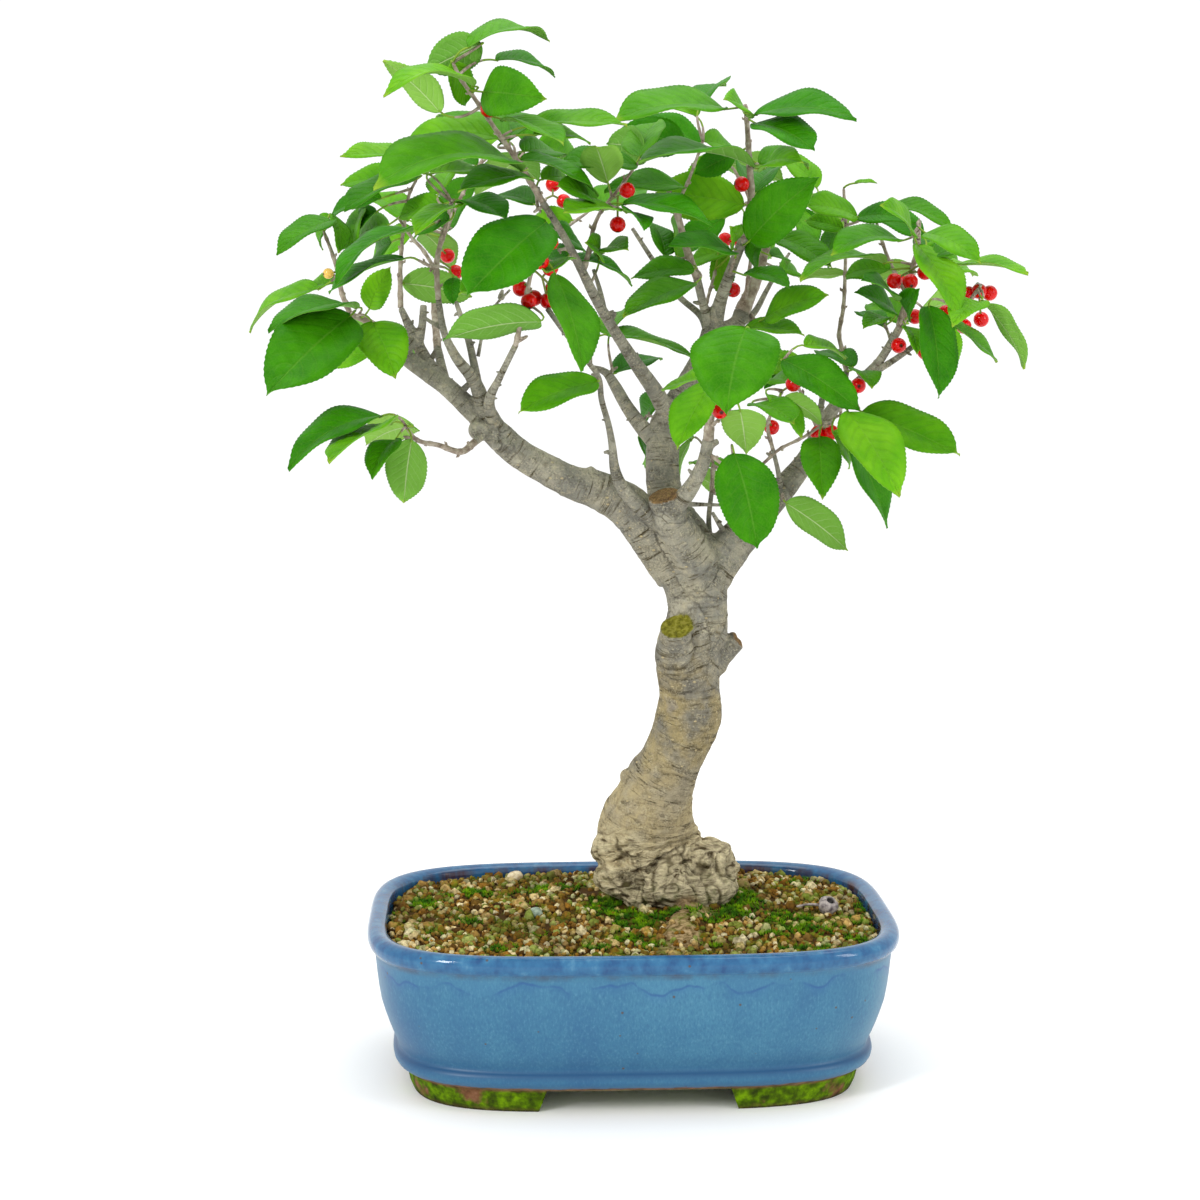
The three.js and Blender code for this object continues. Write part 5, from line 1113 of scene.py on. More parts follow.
def shootParts(rows, dice):  # a stem with swollen joints, each with a bud
    path = smoothPath(placed(rows), 0.9)
    path[:, 3] = slender(path[:, 3])
    steps = lengthsAlong(path)
    joint, turn = dice.uniform(2, 5), dice.uniform(0, 6)
    parts = []
    while joint < steps[-1] - 1:
        path[:, 3] += 0.2 * np.exp(-((steps - joint) / 0.9) ** 2)
        index = int(np.argmin(np.abs(steps - joint)))
        along = unit(path[min(index + 1, len(path) - 1), :3] - path[index - 1, :3])
        out = unit(np.cross(along, [math.cos(turn), math.sin(turn), 0.3]))
        size = dice.uniform(0.7, 1.15)
        start = path[index, :3] + out * path[index, 3] * 0.6
        bud = [start, start + (out * 0.9 + along * 0.5) * size, start + (out * 1.3 + along * 1.3) * size]
        parts.append(partOf(tube(np.column_stack([bud, [0.5 * size, 0.55 * size, 0.12]]), 5), paint=1))
        joint += dice.uniform(5, 9)
        turn += 2.4
    path[-1, 3] *= 0.6
    return parts + [partOf(tube(path, 8), paint=1)]


def sprayPieces():
    dice = random.Random(leafSettings["seed"])
    materials = [leafPaint(), twigPaint()]
    limbLines = [smoothPath(placed(rows), 3) for rows in branchList]
    total = 0
    for number, spray in enumerate(sprayList, 1):
        stemLines = [smoothPath(placed(rows), 3) for rows in spray["stems"]]
        parts = []
        for rows in spray["stems"]:
            parts += shootParts(rows, dice)
        for key, lines in (("leaves", stemLines), ("small", stemLines + limbLines)):
            for entry in spray.get(key, []):
                parts += [leafPart(entry, dice)] + stalkParts(entry, lines)
        piece = makePiece(f"spray_{number}", parts, materials, ("tint", "under", "stalk"))
        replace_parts(piece, f"leafy_spray_{number}")
        total += len(piece.data.polygons)
    print("sprays made:", len(sprayList), "with", total, "faces")


sprayPieces()


# Fruit

berrySettings = {"radius": 2.95, "stalk": 0.42, "sag": 1.0, "sides": 16, "unripe": 5, "unripeSize": 0.68}
# One berry from its far end to its stalk: height, radius, how much of the dark scar
berryProfile = [
  [-0.93, 0.1, 1], [-0.975, 0.17, 0.9], [-0.93, 0.34, 0], [-0.74, 0.67, 0], [-0.42, 0.91, 0], [0, 1, 0],
  [0.42, 0.9, 0], [0.74, 0.66, 0], [0.92, 0.36, 0], [0.93, 0.16, 0],
]
# Root on the branch, then the berry, or the fork of the stalks and its berries
fruitList = [
  [[-54, 361, -55], [-52.5, 362.3, -64]], [[-8, 329, -15], [-5, 331, -20], [-1.5, 333, -21], [-5, 320.5, -23]],
  [[-36.5, 304, -45], [-33, 301, -42], [-30, 304.5, -43], [-29, 297, -38]], [[-38.5, 298, -43], [-38.5, 299, -38],
  [-41, 297, -35], [-36, 293.5, -34]], [[-108.5, 303, -12], [-112, 302.5, -14]], [[44.2, 335, 6], [41, 335.3, 5]],
  [[36, 300, 20], [38, 296.5, 27]], [[103.5, 293.5, 6], [103.5, 303, -1], [98.5, 299.8, -1], [104.5, 299.5, -6],
  [110, 303, -4]], [[131, 297.8, -7.5], [130, 299, -2], [126.5, 295, 0], [130.5, 296, -4], [134.5, 295.3, -1]],
  [[120, 286.5, -2], [124, 288, 4], [118, 288, 6], [125, 283, 2]], [[97, 276, 11.5], [100.5, 275.8, 2]],
  [[84.5, 261.5, 15], [85.5, 260.8, 5]], [[74, 247.5, -17.5], [73.5, 245, -12], [70.5, 243, -10], [75.5, 243.3, -12]],
  [[56.5, 258.5, -17.5], [61, 261.5, -24]], [[-72, 308, 42], [-65, 303, 48]], [[-33, 329, 62], [-29, 331, 66],
  [-25, 329, 68], [-29, 335, 70]], [[42, 316, 68], [35, 315, 77]], [[104, 299, 67], [100.5, 299.5, 72]],
]
# Single berries that stand free of the bunches: foot on the branch, then the berry
looseBerries = [
  [[101.5, 285, 8.5], [106.5, 286.5, 17]], [[106, 275.5, 6], [110.5, 273.3, 13]], [[52, 248, -10], [53, 245.3, -1]],
  [[31.2, 254, -35.5], [33.5, 251.5, -47]], [[103.5, 303, -1], [113, 308.5, -5]], [[130, 299, -2], [131.5, 285.5, 6]],
  [[-33, 311, -46], [-30, 314, -50]], [[-35, 309, -46], [-33.5, 307, -53]], [[-33, 301, -42], [-31, 292.5, -38]],
  [[-38.5, 299, -38], [-38, 292.3, -42]], [[-71, 312, 44], [-68, 309, 52]], [[42, 318, 70], [41, 314, 78]],
]


def berryPaint():
    # ripe winterberry: tight waxy skin, deep signal red, a small dark scar at the far end
    material, skin = newMaterial("ripeBerry")
    paint = coated(rampOf(cloudOf(objectSpot(skin), 3, 2), (0.3, "#c40004"), (0.7, "#e0060a")),
                   (readValue(skin, "unripe"), "#e2b85c"), (readValue(skin, "scar"), "#3a120c"),
                   (readValue(skin, "stalk"), "#6f7c34"))
    finishSkin(skin, paint, 0.1, 0.32, 1.48)
    return material


def berryShape():  # one berry, its stalk end towards +Z
    sides = berrySettings["sides"]
    points, faces = ringSkin([roundRing(radius, height, sides) for height, radius, _ in berryProfile])
    scar = np.append(np.repeat([row[2] for row in berryProfile], sides), [1, 0])
    return hiddenObject("berryShape", points * berrySettings["radius"], faces, {"scar": scar})


def bunchTree(material):  # a stalk along each chain of edges, a berry on each marked point
    tree, given = newTree("berryBunch", [("Berry", "Object", None), ("Berry Scale", "Float", 1.0),
                                         ("Stalk Radius", "Float", 0.0004), ("Stalk Sides", "Int", 7)])
    curve = fed("GeometryNodeMeshToCurve", {0: given["Geometry"]})
    ring = fed("GeometryNodeCurvePrimitiveCircle", {
        "Resolution": given["Stalk Sides"], "Radius": given["Stalk Radius"]})
    stalk = fed("GeometryNodeCurveToMesh", {"Fill Caps": True, "Curve": curve, "Profile Curve": ring})
    green = fed("GeometryNodeStoreNamedAttribute", {
        "data_type": "FLOAT", "Name": "stalk", "Value": 1.0, "Geometry": stalk})
    lean = readPoint(tree, "lean", "FLOAT_VECTOR")
    berries = fed("GeometryNodeInstanceOnPoints", {
        "Points": given["Geometry"], "Selection": readPoint(tree, "berry"),
        "Instance": fed("GeometryNodeObjectInfo", {"Object": given["Berry"]}, "Geometry"),
        "Rotation": fed("FunctionNodeAlignRotationToVector", {"axis": "Z", "Vector": lean}),
        "Scale": fed("ShaderNodeCombineXYZ", {axis: given["Berry Scale"] for axis in range(3)})})
    whole = addNode(tree, "GeometryNodeJoinGeometry", {0: green})
    tree.links.new(berries, whole.inputs[0])
    endTree(whole.outputs[0], material)
    return tree


def bunchLines(branches, scale):  # stalks as chains of points; a chain that ends in a berry stops under its skin
    points, edges, berry, lean = [], [], [], []
    for start, stop, hasBerry in branches:
        start, stop = np.array(place(*start)), np.array(place(*stop))
        back = (start - stop) / np.linalg.norm(start - stop)
        end = stop + back * berrySettings["radius"] * 0.85 * scale if hasBerry else stop
        edges += [(len(points) + k, len(points) + k + 1) for k in range(5)]
        for t in np.linspace(0, 1, 6):
            points.append(start + (end - start) * t + np.array([0, 0, berrySettings["sag"] * 0.6 * t * (1 - t)]))
            berry.append(0)
            lean.append([0, 0, 1])
        if hasBerry:
            points.append(stop)
            berry.append(1)
            lean.append(back)
    return points, edges, berry, lean


def fruitPieces():
    shape, tree = berryShape(), bunchTree(berryPaint())
    sets = []
    for root, first, *others in fruitList:
        sets.append([[root, first, not others]] + [[first, spot, True] for spot in others])
    sets.append([[foot, spot, True] for foot, spot in looseBerries])
    for number, branches in enumerate(sets, 1):
        isUnripe = number == berrySettings["unripe"]
        scale = berrySettings["unripeSize"] if isUnripe else 1
        points, edges, berry, lean = bunchLines(branches, scale)
        mesh = newMesh("bunchSource", points, [], edges)
        carry(mesh, "berry", berry)
        carry(mesh, "lean", lean)
        source = addObject("bunchSource", mesh)
        made = grown(source, tree, {"Berry": shape, "Berry Scale": scale,
                                    "Stalk Radius": berrySettings["stalk"] * mm, "Stalk Sides": 7})
        bpy.data.objects.remove(source)
        shadeSmooth(made)
        carry(made, "unripe", [isUnripe] * len(made.vertices))
        if number <= len(fruitList):
            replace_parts(addPiece(f"berries_{number}", made), f"fruit_{number}")
        else:
            addPiece("berries_loose", made)
    bpy.data.objects.remove(shape)
    print("fruit made:", len(sets), "bunches")


fruitPieces()


# The oval pot: a rolled rim, nearly straight walls, a foot groove and four feet

potSettings = {
  "halfLength": 100, "halfDepth": 73.6, "power": 3.9, "planSteps": 168, "footInset": 15.75, "footThickness": 13,
  "footTaper": 2.6, "footHeight": 9, "frontGap": 70, "sideGap": 44, "footSlant": 6, "footColumns": 5, "footSteps": 26,
  "holeRadius": 7, "holeOffset": 42, "paintHeight": 70,
}
# Inset from the rim's outer line, height, and where it isn't none, how thin the glaze is
potProfile = [
  [15.5, 8], [13.3, 8.9], [11.9, 9.9], [10.3, 11.2], [9.5, 12.6], [9.25, 13.9], [9.5, 15.1], [10.3, 15.9],
  [11.1, 16.6], [11.0, 17.6], [10.3, 19.4], [9.2, 22], [7.7, 26], [6.2, 30.5], [4.9, 35], [4.1, 40], [3.5, 45],
  [3.1, 49.5], [2.75, 52.4], [2.3, 54, 0.45], [1.4, 55.1, 0.45], [0.65, 56], [0.15, 57.4], [0.05, 58.8], [0.4, 60.1],
  [1.2, 61.1], [2.3, 61.7], [3.5, 61.85], [5, 61.5], [6.4, 60.9, 0.5], [7.1, 60.1, 1], [7.3, 58.6, 1], [7.6, 54],
  [8, 48], [10.6, 34], [13.5, 22], [16, 17.5], [19, 15],
]


def planRing(inset, height, steps=potSettings["planSteps"], turns=None):
    halfLength, halfDepth = potSettings["halfLength"] - inset, potSettings["halfDepth"] - inset
    if turns is None:
        turns = (np.arange(steps) + 0.5) / steps * fullTurn
    power = potSettings["power"]
    reach = ((np.abs(np.cos(turns)) / halfLength) ** power
             + (np.abs(np.sin(turns)) / halfDepth) ** power) ** (-1 / power)
    return np.column_stack([reach * np.cos(turns), reach * np.sin(turns), np.broadcast_to(height, np.shape(turns))])


def footPart(signX, signY):  # one corner foot, its ends slanted, its outside leaning in to the ground
    height, power, columns = potSettings["footHeight"], potSettings["power"], potSettings["footColumns"]
    top, last = height + 2, columns - 1
    section = []
    for k in range(columns):  # up the outside
        z = top * k / last
        section.append((potSettings["footInset"] - potSettings["footTaper"] * z / top + 0.5 * (k == 0), z))
    for k in range(columns):  # down the inside
        inside = potSettings["footInset"] + potSettings["footThickness"] - 0.5 * (k == last)
        section.append((inside, top * (1 - k / last)))
    rings = []
    for share in np.linspace(0, 1, potSettings["footSteps"]):
        ring = []
        for inset, z in section:
            slant = potSettings["footSlant"] * (0.5 - z / height)
            halfLength, halfDepth = potSettings["halfLength"] - inset, potSettings["halfDepth"] - inset
            x, y = (potSettings["frontGap"] + slant) / 2, (potSettings["sideGap"] + slant) / 2
            front = math.atan2(halfDepth * (1 - (x / halfLength) ** power) ** (1 / power), x)
            beside = math.atan2(y, halfLength * (1 - (y / halfDepth) ** power) ** (1 / power))
            x, y, _ = planRing(inset, z, turns=np.array([beside + (front - beside) * share]))[0]
            ring.append([x * signX, y * signY, z])
        rings.append(ring)
    return partOf(ringSkin(rings[::-1] if signX * signY < 0 else rings), foot=1.0)


def glazePaint(name, shine):
    # stoneware: runny blue glaze that breaks brown on edges, bare brown clay with algae below it
    material, skin = newMaterial(name)
    spot = objectSpot(skin)
    height = times(axesOf(spot)[2], 1 / mm)
    level = maths("DIVIDE", height, potSettings["paintHeight"])
    around = stretched(spot, 1, 1, 0)
    streaks = cloudOf(stretched(spot, 1, 1, 0.45), 0.75, 3, 0.6)
    # the runny lower edge of a second coat of glaze
    over = minus(height, plus(times(cloudOf(around, 13, 2, 0.4), 17), 41))
    second = rampOf(plus(maths("DIVIDE", over, 12), 0.5), (0.49, 0.0), (0.53, 0.14), (0.8, 0.3))
    line = rampOf(maths("ABSOLUTE", over), (0.1, 1.0), (0.75, 0.0))
    below = rampOf(plus(maths("DIVIDE", over, 8), 0.98), (0.45, 0.0), (0.97, 0.4), (1.0, 0.0))
    broken = rampOf(cloudOf(around, 17, 3), (0.42, 0.0), (0.56, 0.75))
    rim = rampOf(level, (0.775, 0.0), (0.8, 0.9))
    bare = rampOf(cloudOf(around, 16, 5, 0.65), (0.42, 0.0), (0.6, 1.0))
    glaze = coated(
        rampOf(cloudOf(stretched(spot, 1, 1, 0.6), 30, 4), (0.3, "#245a80"), (0.5, "#2e6787"), (0.7, "#3b7590")),
        (rampOf(streaks, (0.34, 0.4), (0.5, 0.0)), "#1d4f7c"),
        (rampOf(streaks, (0.54, 0.0), (0.72, 0.3)), "#5a8ea4"),
        # deeper blue where the glaze gathers in the low groove
        (rampOf(level, (0.185, 0.1), (0.225, 0.95), (0.25, 0.35), (0.34, 0.0)), "#0f456e"),
        (rampOf(level, (0.15, 0.7), (0.2, 0.0)), "#1f5a84"),
        (second, "#3e7797"), (times(line, broken), "#1b4a80"), (times(below, broken), "#20558a"),
        (rim, rampOf(cloudOf(stretched(spot, 1, 1, 0.7), 4.5, 5, 0.6),
                     (0.3, "#123f70"), (0.45, "#1e5480"), (0.6, "#2a648c"), (0.74, "#46799a"))),
        # thin glaze on the inner edge and the lip's lower edge lets the brown clay show
        (times(readValue(skin, "thin"), bare), "#3c2430"),
        (specksOf(spot, 6, 0.6, (0.06, 0.8), (0.1, 0.0)), "#4a3826"))
    # bare clay, algae on the feet, grime on the ground
    clayShare = rampOf(plus(minus(plus(times(cloudOf(around, 9, 3), 2.4), 8.9), height), 0.5), (0.2, 0.0), (0.75, 1.0))
    algae = rampOf(cloudOf(spot, 17, 5, 0.6), (0.34, 0.0), (0.42, 0.97))
    outside = rampOf(maths("DIVIDE", height, 10), (0.0, 0.45), (0.2, 1.0), (0.78, 1.0), (0.9, 0.1))
    grime = times(rampOf(height, (0.4, 0.8), (1.0, 0.0)), rampOf(cloudOf(spot, 1.1, 3), (0.4, 0.2), (0.55, 1.0)))
    clay = coated(
        rampOf(cloudOf(spot, 4, 5), (0.3, "#46301f"), (0.5, "#704c33"), (0.7, "#8a624a")),
        (times(algae, outside, readValue(skin, "foot")),
         rampOf(cloudOf(spot, 3.4, 5), (0.32, "#28380a"), (0.44, "#3c5404"), (0.56, "#547602"), (0.68, "#6e9604"))),
        (grime, "#2f3524"))
    finishSkin(skin, mixPaint(clayShare, glaze, clay), mixPaint(clayShare, mixPaint(rim, 0.4, 0.09), 0.85), shine, 1.5)
    relief = plus(times(cloudOf(spot, 3.5, 3), plus(times(clayShare, 2.2), 0.3)), times(streaks, 0.1))
    liftSkin(skin, relief, 0.3, 0.6)
    return material


def potPiece():
    points, faces = ringSkin([planRing(inset, height) for inset, height, *_ in potProfile])
    thin = [row[2] if len(row) > 2 else 0.0 for row in potProfile]
    body = partOf((points, faces), thin=np.append(np.repeat(thin, potSettings["planSteps"]), [0, 0]),
                  foot=smoothStep(11.5, 9.5, points[:, 2]))
    piece = makePiece("glazed_pot", [body], [glazePaint("blueRunnyGlaze", 0.42)], ("thin", "foot"))
    for x in (-potSettings["holeOffset"], potSettings["holeOffset"]):
        rings = [np.array(roundRing(potSettings["holeRadius"], z, 32)) + [x, 0, 0] for z in (-5, 25)]
        drill = hiddenObject("drainDrill", *ringSkin(rings))
        cut = piece.modifiers.new("drain", "BOOLEAN")
        cut.operation, cut.solver, cut.object = "DIFFERENCE", "EXACT", drill
        settle(piece)
        bpy.data.objects.remove(drill)
    shadeSmooth(piece.data)
    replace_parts(piece, "pot")
    feet = [footPart(signX, signY) for signX in (-1, 1) for signY in (-1, 1)]
    makePiece("pot_feet", feet, [glazePaint("mossyBareClay", 0.08)], ("thin", "foot"))
    print("pot made")


potPiece()


# Soil: a mound of granules with moss

soilSettings = {"level": 57.6, "mound": 4.5, "moundAt": (16, 62, 16), "relief": 0.7, "gap": 0.3, "lip": 7.7,
                "steps": 144, "area": 22000, "trunkAt": (15, 70, 19), "trunkSize": (27, 23), "grain": 3.4, "tuft": 2.1}
soilWall = [[19, 15], [16, 17.6], [13.5, 22], [8, 48], [7.6, 55.5]]  # inset from the rim, height
# Moss patches: x, depth, reach across, reach back, fullness
mossPatches = [
  [-9, 4, 6, 10, 1], [-3, -9, 9, 7, 1], [1, -20, 8, 8, 0.9], [-4, -36, 11, 7, 0.7], [16, -12, 16, 5, 1],
  [32, -12, 9, 9, 1.1], [42, -2, 9, 10, 1], [46, 12, 8, 12, 0.8], [60, -12, 13, 7, 0.95], [68, -26, 13, 7, 0.95],
  [52, -32, 9, 5, 0.6], [82, -36, 7, 9, 0.6], [-16, -48, 10, 6, 0.7], [5, -46, 7, 6, 0.7], [28, -46, 8, 5, 0.6],
  [-78, 22, 12, 9, 0.75], [-60, 34, 16, 8, 0.75], [-84, 0, 6, 12, 0.5], [-72, -26, 9, 9, 0.5], [-50, -46, 16, 5, 0.6],
  [-34, -30, 9, 7, 0.45], [92, 8, 5, 22, 0.6], [-30, 34, 14, 9, 0.7], [-38, 12, 9, 6, 0.5], [44, 48, 16, 7, 0.5],
  [-6, 44, 16, 8, 0.6], [70, 46, 11, 8, 0.5], [-62, -6, 10, 6, 0.45], [60, -52, 16, 5, 0.6], [84, -14, 7, 8, 0.6],
  [-20, -14, 8, 6, 0.5],
]


def rootGap(x, y):  # how far beside the root that runs forward, 1 at its edge
    return (x - 23.3 - 0.19 * y) / 6.6


def soilHeight(x, y):
    middle = place(*soilSettings["moundAt"])
    away = np.hypot((x - middle[0]) / 50, (y - middle[1]) / 38)
    spot = np.column_stack([x, y, np.zeros(len(x))])
    rough = grainOf(spot, 9, 21) * 0.8 + grainOf(spot, 3.2, 22) * 0.5
    root = 4 * np.exp(-rootGap(x, y) ** 4 - (np.minimum(y + 26, 0) / 24) ** 2 - (np.maximum(y + 6, 0) / 6) ** 2)
    root = root * (0.85 + 0.5 * grainOf(spot, 6, 34))
    return soilSettings["level"] + soilSettings["mound"] * np.exp(-away * away) + soilSettings["relief"] * rough + root


def soilPaint():
    # fired clay granules and pumice: dull, dusty, each grain its own shade of tan
    material, skin = newMaterial("clayGranules")
    spot = objectSpot(skin)
    tones = rampOf(readValue(skin, "tone"), (0.0, "#2a1c08"), (0.16, "#4a310e"), (0.32, "#7d561a"), (0.5, "#9f7128"),
                   (0.62, "#6e5220"), (0.72, "#bd9650"), (0.82, "#dcc48a"), (0.88, "#f0e4b8"), (0.94, "#74802a"),
                   (1.0, "#a3ad5c"))
    earth = rampOf(cloudOf(spot, 2.2, 6, 0.7), (0.36, "#3a2c14"), (0.46, "#73603c"), (0.6, "#a68e68"))
    algae = times(rampOf(cloudOf(spot, 9, 4), (0.48, 0.0), (0.62, 0.6)),
                  rampOf(cloudOf(spot, 1.4, 3), (0.4, 0.2), (0.6, 1.0)))
    paint = coated(tones, (rampOf(cloudOf(spot, 1.3, 4), (0.35, 0.6), (0.6, 0.0)), "#3f2e14"),
                   (rampOf(cloudOf(spot, 24, 3), (0.45, 0.0), (0.62, 0.55)), "#3c2a10"),
                   (readValue(skin, "earth"), earth), (algae, "#5c7a14"))
    finishSkin(skin, paint, 0.95, 0.1)
    liftSkin(skin, cloudOf(spot, 0.7, 4), 0.3, 0.8)
    return material


def mossPaint():
    # cushion moss: tiny pointed leaves, brighter at their tips
    material, skin = newMaterial("cushionMoss")
    green = rampOf(cloudOf(objectSpot(skin), 6, 4), (0.32, "#2a5c04"), (0.48, "#4f8c00"), (0.64, "#98c804"))
    finishSkin(skin, coated(green, (readValue(skin, "depthShade"), "#18300a")), 0.7, 0.1)
    return material


def grainShape(seed):
    dice = random.Random(seed)
    points, faces = ringSkin([roundRing(0.62, -0.72, 5), roundRing(1, 0, 5, 0.5), roundRing(0.6, 0.7, 5)])
    sizes = np.array([dice.uniform(0.85, 1.15), dice.uniform(0.7, 1), dice.uniform(0.6, 0.9)])
    points *= sizes * soilSettings["grain"] / 2
    points += np.array([[dice.uniform(-0.22, 0.22) for _ in range(3)] for _ in points])
    return hiddenObject(f"grainShape{seed}", points, faces)


def tuftShape(seed):  # eight narrow pyramids that lean apart
    dice = random.Random(seed)
    points, faces, shade = [], [], []
    for _ in range(8):
        turn, lean = dice.uniform(0, 6.283), dice.uniform(0.15, 0.75)
        foot = np.array([dice.uniform(-0.5, 0.5), dice.uniform(-0.5, 0.5), -0.35])
        outward = np.array([math.cos(turn) * lean, math.sin(turn) * lean, dice.uniform(0.8, 1.25)])
        a, b, c, tip = range(len(points), len(points) + 4)
        points += [foot + 0.2 * np.array([math.cos(turn + k * 2.094), math.sin(turn + k * 2.094), 0]) for k in range(3)]
        points.append(foot + outward * soilSettings["tuft"] * 0.8)
        shade += [0.95, 0.95, 0.95, 0]
        faces += [(a, b, tip), (b, c, tip), (c, a, tip), (c, b, a)]
    return hiddenObject(f"tuftShape{seed}", points, faces, {"depthShade": shade})


def scatterTree(name, material, where):  # lays one of several shapes on points of the upper faces
    tree, given = newTree(name, [
        ("Shapes", "Collection", None), ("Density", "Float", 1.0), ("Smallest", "Float", 0.5),
        ("Largest", "Float", 1.2), ("Tilt", "Float", 3.14), ("Sink", "Float", 0.0), ("Seed", "Int", 0)])
    tilt, seed = given["Tilt"], given["Seed"]
    spots = fed("GeometryNodeDistributePointsOnFaces", {
        "distribute_method": "RANDOM", "Mesh": given["Geometry"], "Seed": seed,
        "Density": times(readPoint(tree, where), given["Density"])})
    size = fed("FunctionNodeRandomValue", {
        "data_type": "FLOAT", 2: given["Smallest"], 3: given["Largest"], "Seed": seed}, 1)
    less = times(tilt, -1.0)
    turn = fed("FunctionNodeRandomValue", {
        "data_type": "FLOAT_VECTOR", 0: fed("ShaderNodeCombineXYZ", {0: less, 1: less, 2: -3.14}),
        1: fed("ShaderNodeCombineXYZ", {0: tilt, 1: tilt, 2: 3.14}), "Seed": seed})
    shapes = fed("GeometryNodeCollectionInfo", {
        "Separate Children": True, "Reset Children": True, 0: given["Shapes"]})
    laid = fed("GeometryNodeInstanceOnPoints", {
        "Pick Instance": True, "Points": spots, "Instance": shapes, "Rotation": turn, "Scale": size})
    sunk = fed("GeometryNodeTranslateInstances", {
        "Local Space": False, "Instances": laid, "Translation": fed("ShaderNodeCombineXYZ", {2: given["Sink"]})})
    tone = fed("FunctionNodeRandomValue", {"data_type": "FLOAT", "Seed": seed}, 1)
    endTree(fed("GeometryNodeStoreNamedAttribute", {
        "data_type": "FLOAT", "domain": "INSTANCE", "Name": "tone", "Geometry": sunk, "Value": tone}), material)
    return tree


def scattered(name, source, tree, shapes, inputs):
    group = bpy.data.collections.new(name + "Shapes")
    for shape in shapes:
        group.objects.link(shape)
    made = grown(source, tree, {**inputs, "Shapes": group})
    for shape in shapes:
        bpy.data.objects.remove(shape)
    bpy.data.collections.remove(group)
    addPiece(name, made)
    print(name, "made:", len(made.polygons), "faces")


# Name, node tree, where, shapes with their seeds, and the tree's inputs; sizes in mm, counts for the whole bed
scatterList = [
  ("soil_grains", "soilGrains", "granular", grainShape, range(5),
   {"Density": 4600, "Smallest": 0.35, "Largest": 1.0, "Tilt": 3.14, "Sink": 0.35, "Seed": 12}),
  ("soil_lumps", "soilLumps", "granular", grainShape, range(5, 10),
   {"Density": 260, "Smallest": 1.1, "Largest": 1.9, "Tilt": 3.14, "Sink": 0.2, "Seed": 44}),
  ("moss", "mossTufts", "mossy", tuftShape, range(4),
   {"Density": 11960, "Smallest": 0.6, "Largest": 1.1, "Tilt": 0.5, "Sink": 0.4, "Seed": 3}),
]


def soilPieces():
    granules, moss = soilPaint(), mossPaint()
    steps, gap = soilSettings["steps"], soilSettings["gap"]
    rings = [planRing(inset + gap, height + gap, steps) for inset, height in soilWall]
    inner = planRing(soilSettings["lip"], 0, steps)
    for share in np.concatenate([[0.985], np.linspace(0.96, 0.05, 42)]):
        ring = inner * [share, share, 1]
        ring[:, 2] = soilHeight(ring[:, 0], ring[:, 1])
        if share > 0.97:
            ring[:, 2] = np.minimum(ring[:, 2], soilSettings["level"] - 0.4)
        rings.append(ring)
    points, faces = ringSkin(rings)
    x, y = points[:, 0], points[:, 1]
    clay = np.exp(-(rootGap(x, y) + 0.9 * grainOf(points, 8, 33)) ** 4 - ((y + 27) / 30) ** 6)
    bed = makePiece("soil_bed", [partOf((points, faces), tone=0.13, earth=clay)], [granules], ("tone", "earth"))
    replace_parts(bed, "soil")
    top = np.where(np.arange(len(points)) >= len(soilWall) * steps, 1.0, 0.0)
    middle, (wide, deep) = place(*soilSettings["trunkAt"]), soilSettings["trunkSize"]
    fromTrunk = np.hypot((x - middle[0]) / wide, (y - middle[1]) / deep)
    free, mud = smoothStep(0.8, 0.95, fromTrunk), smoothStep(1.75, 1.25, fromTrunk)
    mossy = np.zeros(len(points))
    for patchX, patchY, wide, deep, full in mossPatches:
        mossy = np.maximum(mossy, full * np.exp(-((x - patchX) / wide) ** 2 - ((y - patchY) / deep) ** 2))
    flat = points * [1, 1, 0]
    mossy = mossy + (grainOf(flat, 6, 31) * 0.5 + grainOf(flat, 2.5, 32) * 0.35) * 0.45
    mossy = smoothStep(0.35, 0.62, mossy) * top
    granular = top * free * (1 - 0.85 * mossy) * (1 - 0.9 * clay) * (1 - 0.6 * mud)
    source = hiddenObject("soilSource", points, faces, {"granular": granular, "mossy": mossy * (1 - 0.8 * clay)})
    for name, treeName, where, shape, seeds, inputs in scatterList:
        tree = scatterTree(treeName, moss if name == "moss" else granules, where)
        density = inputs["Density"] / (soilSettings["area"] * mm * mm)
        scattered(name, source, tree, [shape(seed) for seed in seeds],
                  {**inputs, "Density": density, "Sink": inputs["Sink"] * mm})
    bpy.data.objects.remove(source)


soilPieces()


# Pebbles, the fallen dry fruit and the drain screens

fruitSettings = {"centre": (75.9, -4.8, 61.8), "sides": 20, "tilts": (0.5, 0.3)}
# The dry fruit's rings: radius, height, how much of the dark inside
fruitProfile = [
  [0.3, -3.3, 0], [1.6, -3.1, 0], [2.8, -2.4, 0], [3.6, -1.1, 0], [3.85, 0.2, 0], [3.7, 1.3, 0],
  [3.1, 2.3, 0], [2.35, 3, 0], [1.9, 3.15, 0.2], [1.5, 2.9, 0.7], [1.3, 2.2, 1], [1.1, 1.6, 1],
]
fruitStalk = [[74, 60.8, -4.8, 0.6], [69, 61.2, -5.5, 0.5], [64.5, 60.4, -7, 0.4]]


def stonePaint(name, dark, light, roughness):
    # small smooth stones and a dried fruit's wrinkled skin: dull, mottled
    material, skin = newMaterial(name)
    spot = objectSpot(skin)
    paint = coated(rampOf(cloudOf(spot, 1.8, 5), (0.35, dark), (0.65, light)), (readValue(skin, "inside"), "#15100f"))
    finishSkin(skin, paint, roughness)
    liftSkin(skin, cloudOf(spot, 0.8, 4), 0.25, 0.8)
    return material


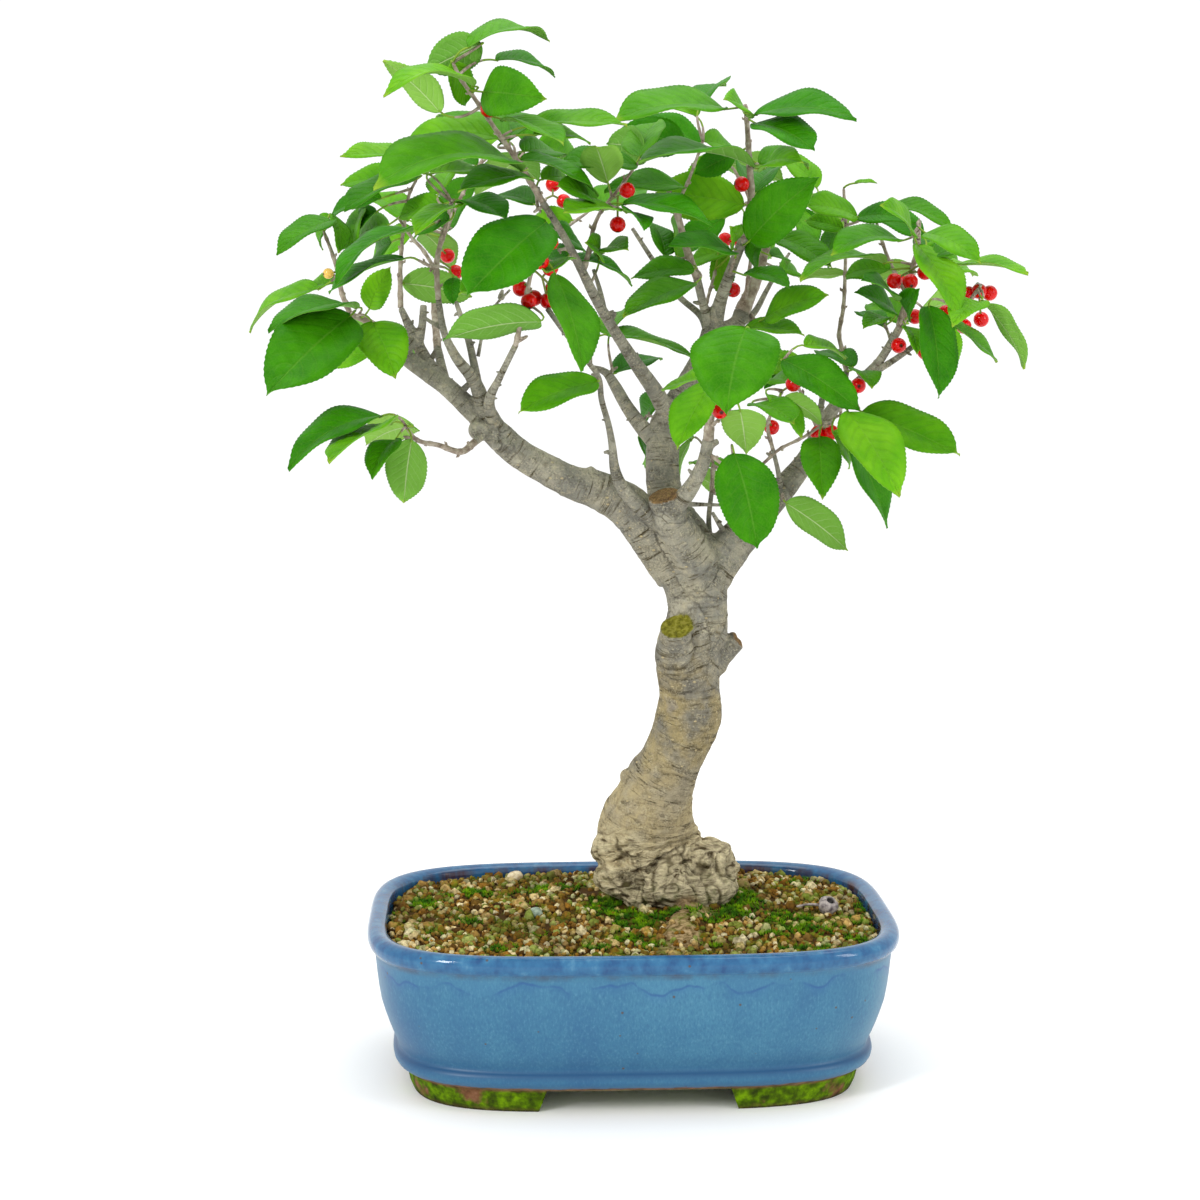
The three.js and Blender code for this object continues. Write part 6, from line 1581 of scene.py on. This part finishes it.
def screenPaint():
    # moulded polythene mesh, dull black, grey with soil dust
    material, skin = newMaterial("mouldedScreen")
    finishSkin(skin, rampOf(cloudOf(objectSpot(skin), 2, 4), (0.35, "#161a19"), (0.7, "#3a3a34")), 0.6)
    return material


def pebble(centre, halfSizes, seed):
    points, faces = blob(centre, halfSizes)
    outward = points - np.array(centre)
    return partOf((points + outward * (grainOf(points, max(halfSizes), seed) * 0.22)[:, None], faces))


def smallThings():
    grey = stonePaint("greyGreenPebble", "#5f7163", "#a3b3a0", 0.7)
    pale = stonePaint("paleStone", "#b39c74", "#e3d6b8", 0.85)
    makePiece("pebble_grey", [pebble([-36.5, -4, 60], [3.2, 2.6, 2.2], 1)], [grey], ("inside",))
    makePiece("pebble_pale", [pebble([-44, 55, 59.6], [3.4, 2.8, 2.4], 2)], [pale], ("inside",))
    sides = fruitSettings["sides"]
    turns = turnsOf(sides)
    (c, s), (d, t) = ((math.cos(tilt), math.sin(tilt)) for tilt in fruitSettings["tilts"])
    tilted = np.array([[1, 0, 0], [0, c, s], [0, -s, c]]), np.array([[d, 0, -t], [0, 1, 0], [t, 0, d]])
    rings = []
    for radius, height, _ in fruitProfile:
        reach = radius * (1 + 0.06 * np.cos(5 * turns) * min(1, radius / 3))
        ring = np.column_stack([reach * np.cos(turns), reach * np.sin(turns), np.full(sides, height)])
        rings.append(ring @ tilted[0] @ tilted[1] + fruitSettings["centre"])
    inside = np.append(np.repeat([row[2] for row in fruitProfile], sides), [0, 1])
    stalk = tube(smoothPath(placed(fruitStalk), 1), 8)
    fruit = makePiece("dry_fruit", [partOf(ringSkin(rings), inside=inside), partOf(stalk)],
                      [stonePaint("driedFruitSkin", "#4d4247", "#b3a9a4", 0.5)], ("inside",))
    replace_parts(fruit, "fallen_dry_fruit")
    screen = screenPaint()
    for name in ("drain_screen_1", "drain_screen_2"):
        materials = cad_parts[name].data.materials
        materials.clear()
        materials.append(screen)
    print("small things made")


smallThings()


# Floor and light: a white sweep of light from all round, large soft boxes in front and above

studio = {"world": 1.07, "floor": "#fbfbfa", "halfFloor": 3000, "aim": (0, 0, 170)}
# Soft boxes: name, place, size, power
lampList = [("softBoxLeft", (-900, -1000, 900), (200, 520), 9), ("softBoxRight", (1100, -700, 700), (260, 700), 4),
            ("softBoxTop", (100, 200, 1300), (900, 900), 5)]

half = studio["halfFloor"]
corners = [(-half, -half, 0), (half, -half, 0), (half, half, 0), (-half, half, 0)]
floor = addObject("floor", newMesh("floor", corners, [(0, 1, 2, 3)]))
floorMaterial, floorSkin = newMaterial("whitePaperSweep")
finishSkin(floorSkin, paintOf(studio["floor"]), 0.9)
floor.data.materials.append(floorMaterial)

world = bpy.data.worlds.new("softWhite")
world.use_nodes = True
background = world.node_tree.nodes["Background"]
background.inputs[0].default_value, background.inputs[1].default_value = (1, 1, 1, 1), studio["world"]
bpy.context.scene.world = world
for name, spot, size, power in lampList:
    lamp = bpy.data.lights.new(name, "AREA")
    lamp.shape, lamp.size, lamp.size_y, lamp.energy = "RECTANGLE", size[0] * mm, size[1] * mm, power
    thing = addObject(name, lamp)
    thing.location = Vector(spot) * mm
    thing.rotation_euler = (Vector(studio["aim"]) - Vector(spot)).to_track_quat("-Z", "Y").to_euler()
bpy.context.scene.view_settings.view_transform = "Standard"
bpy.context.scene.view_settings.look = "None"
print("floor and light set")
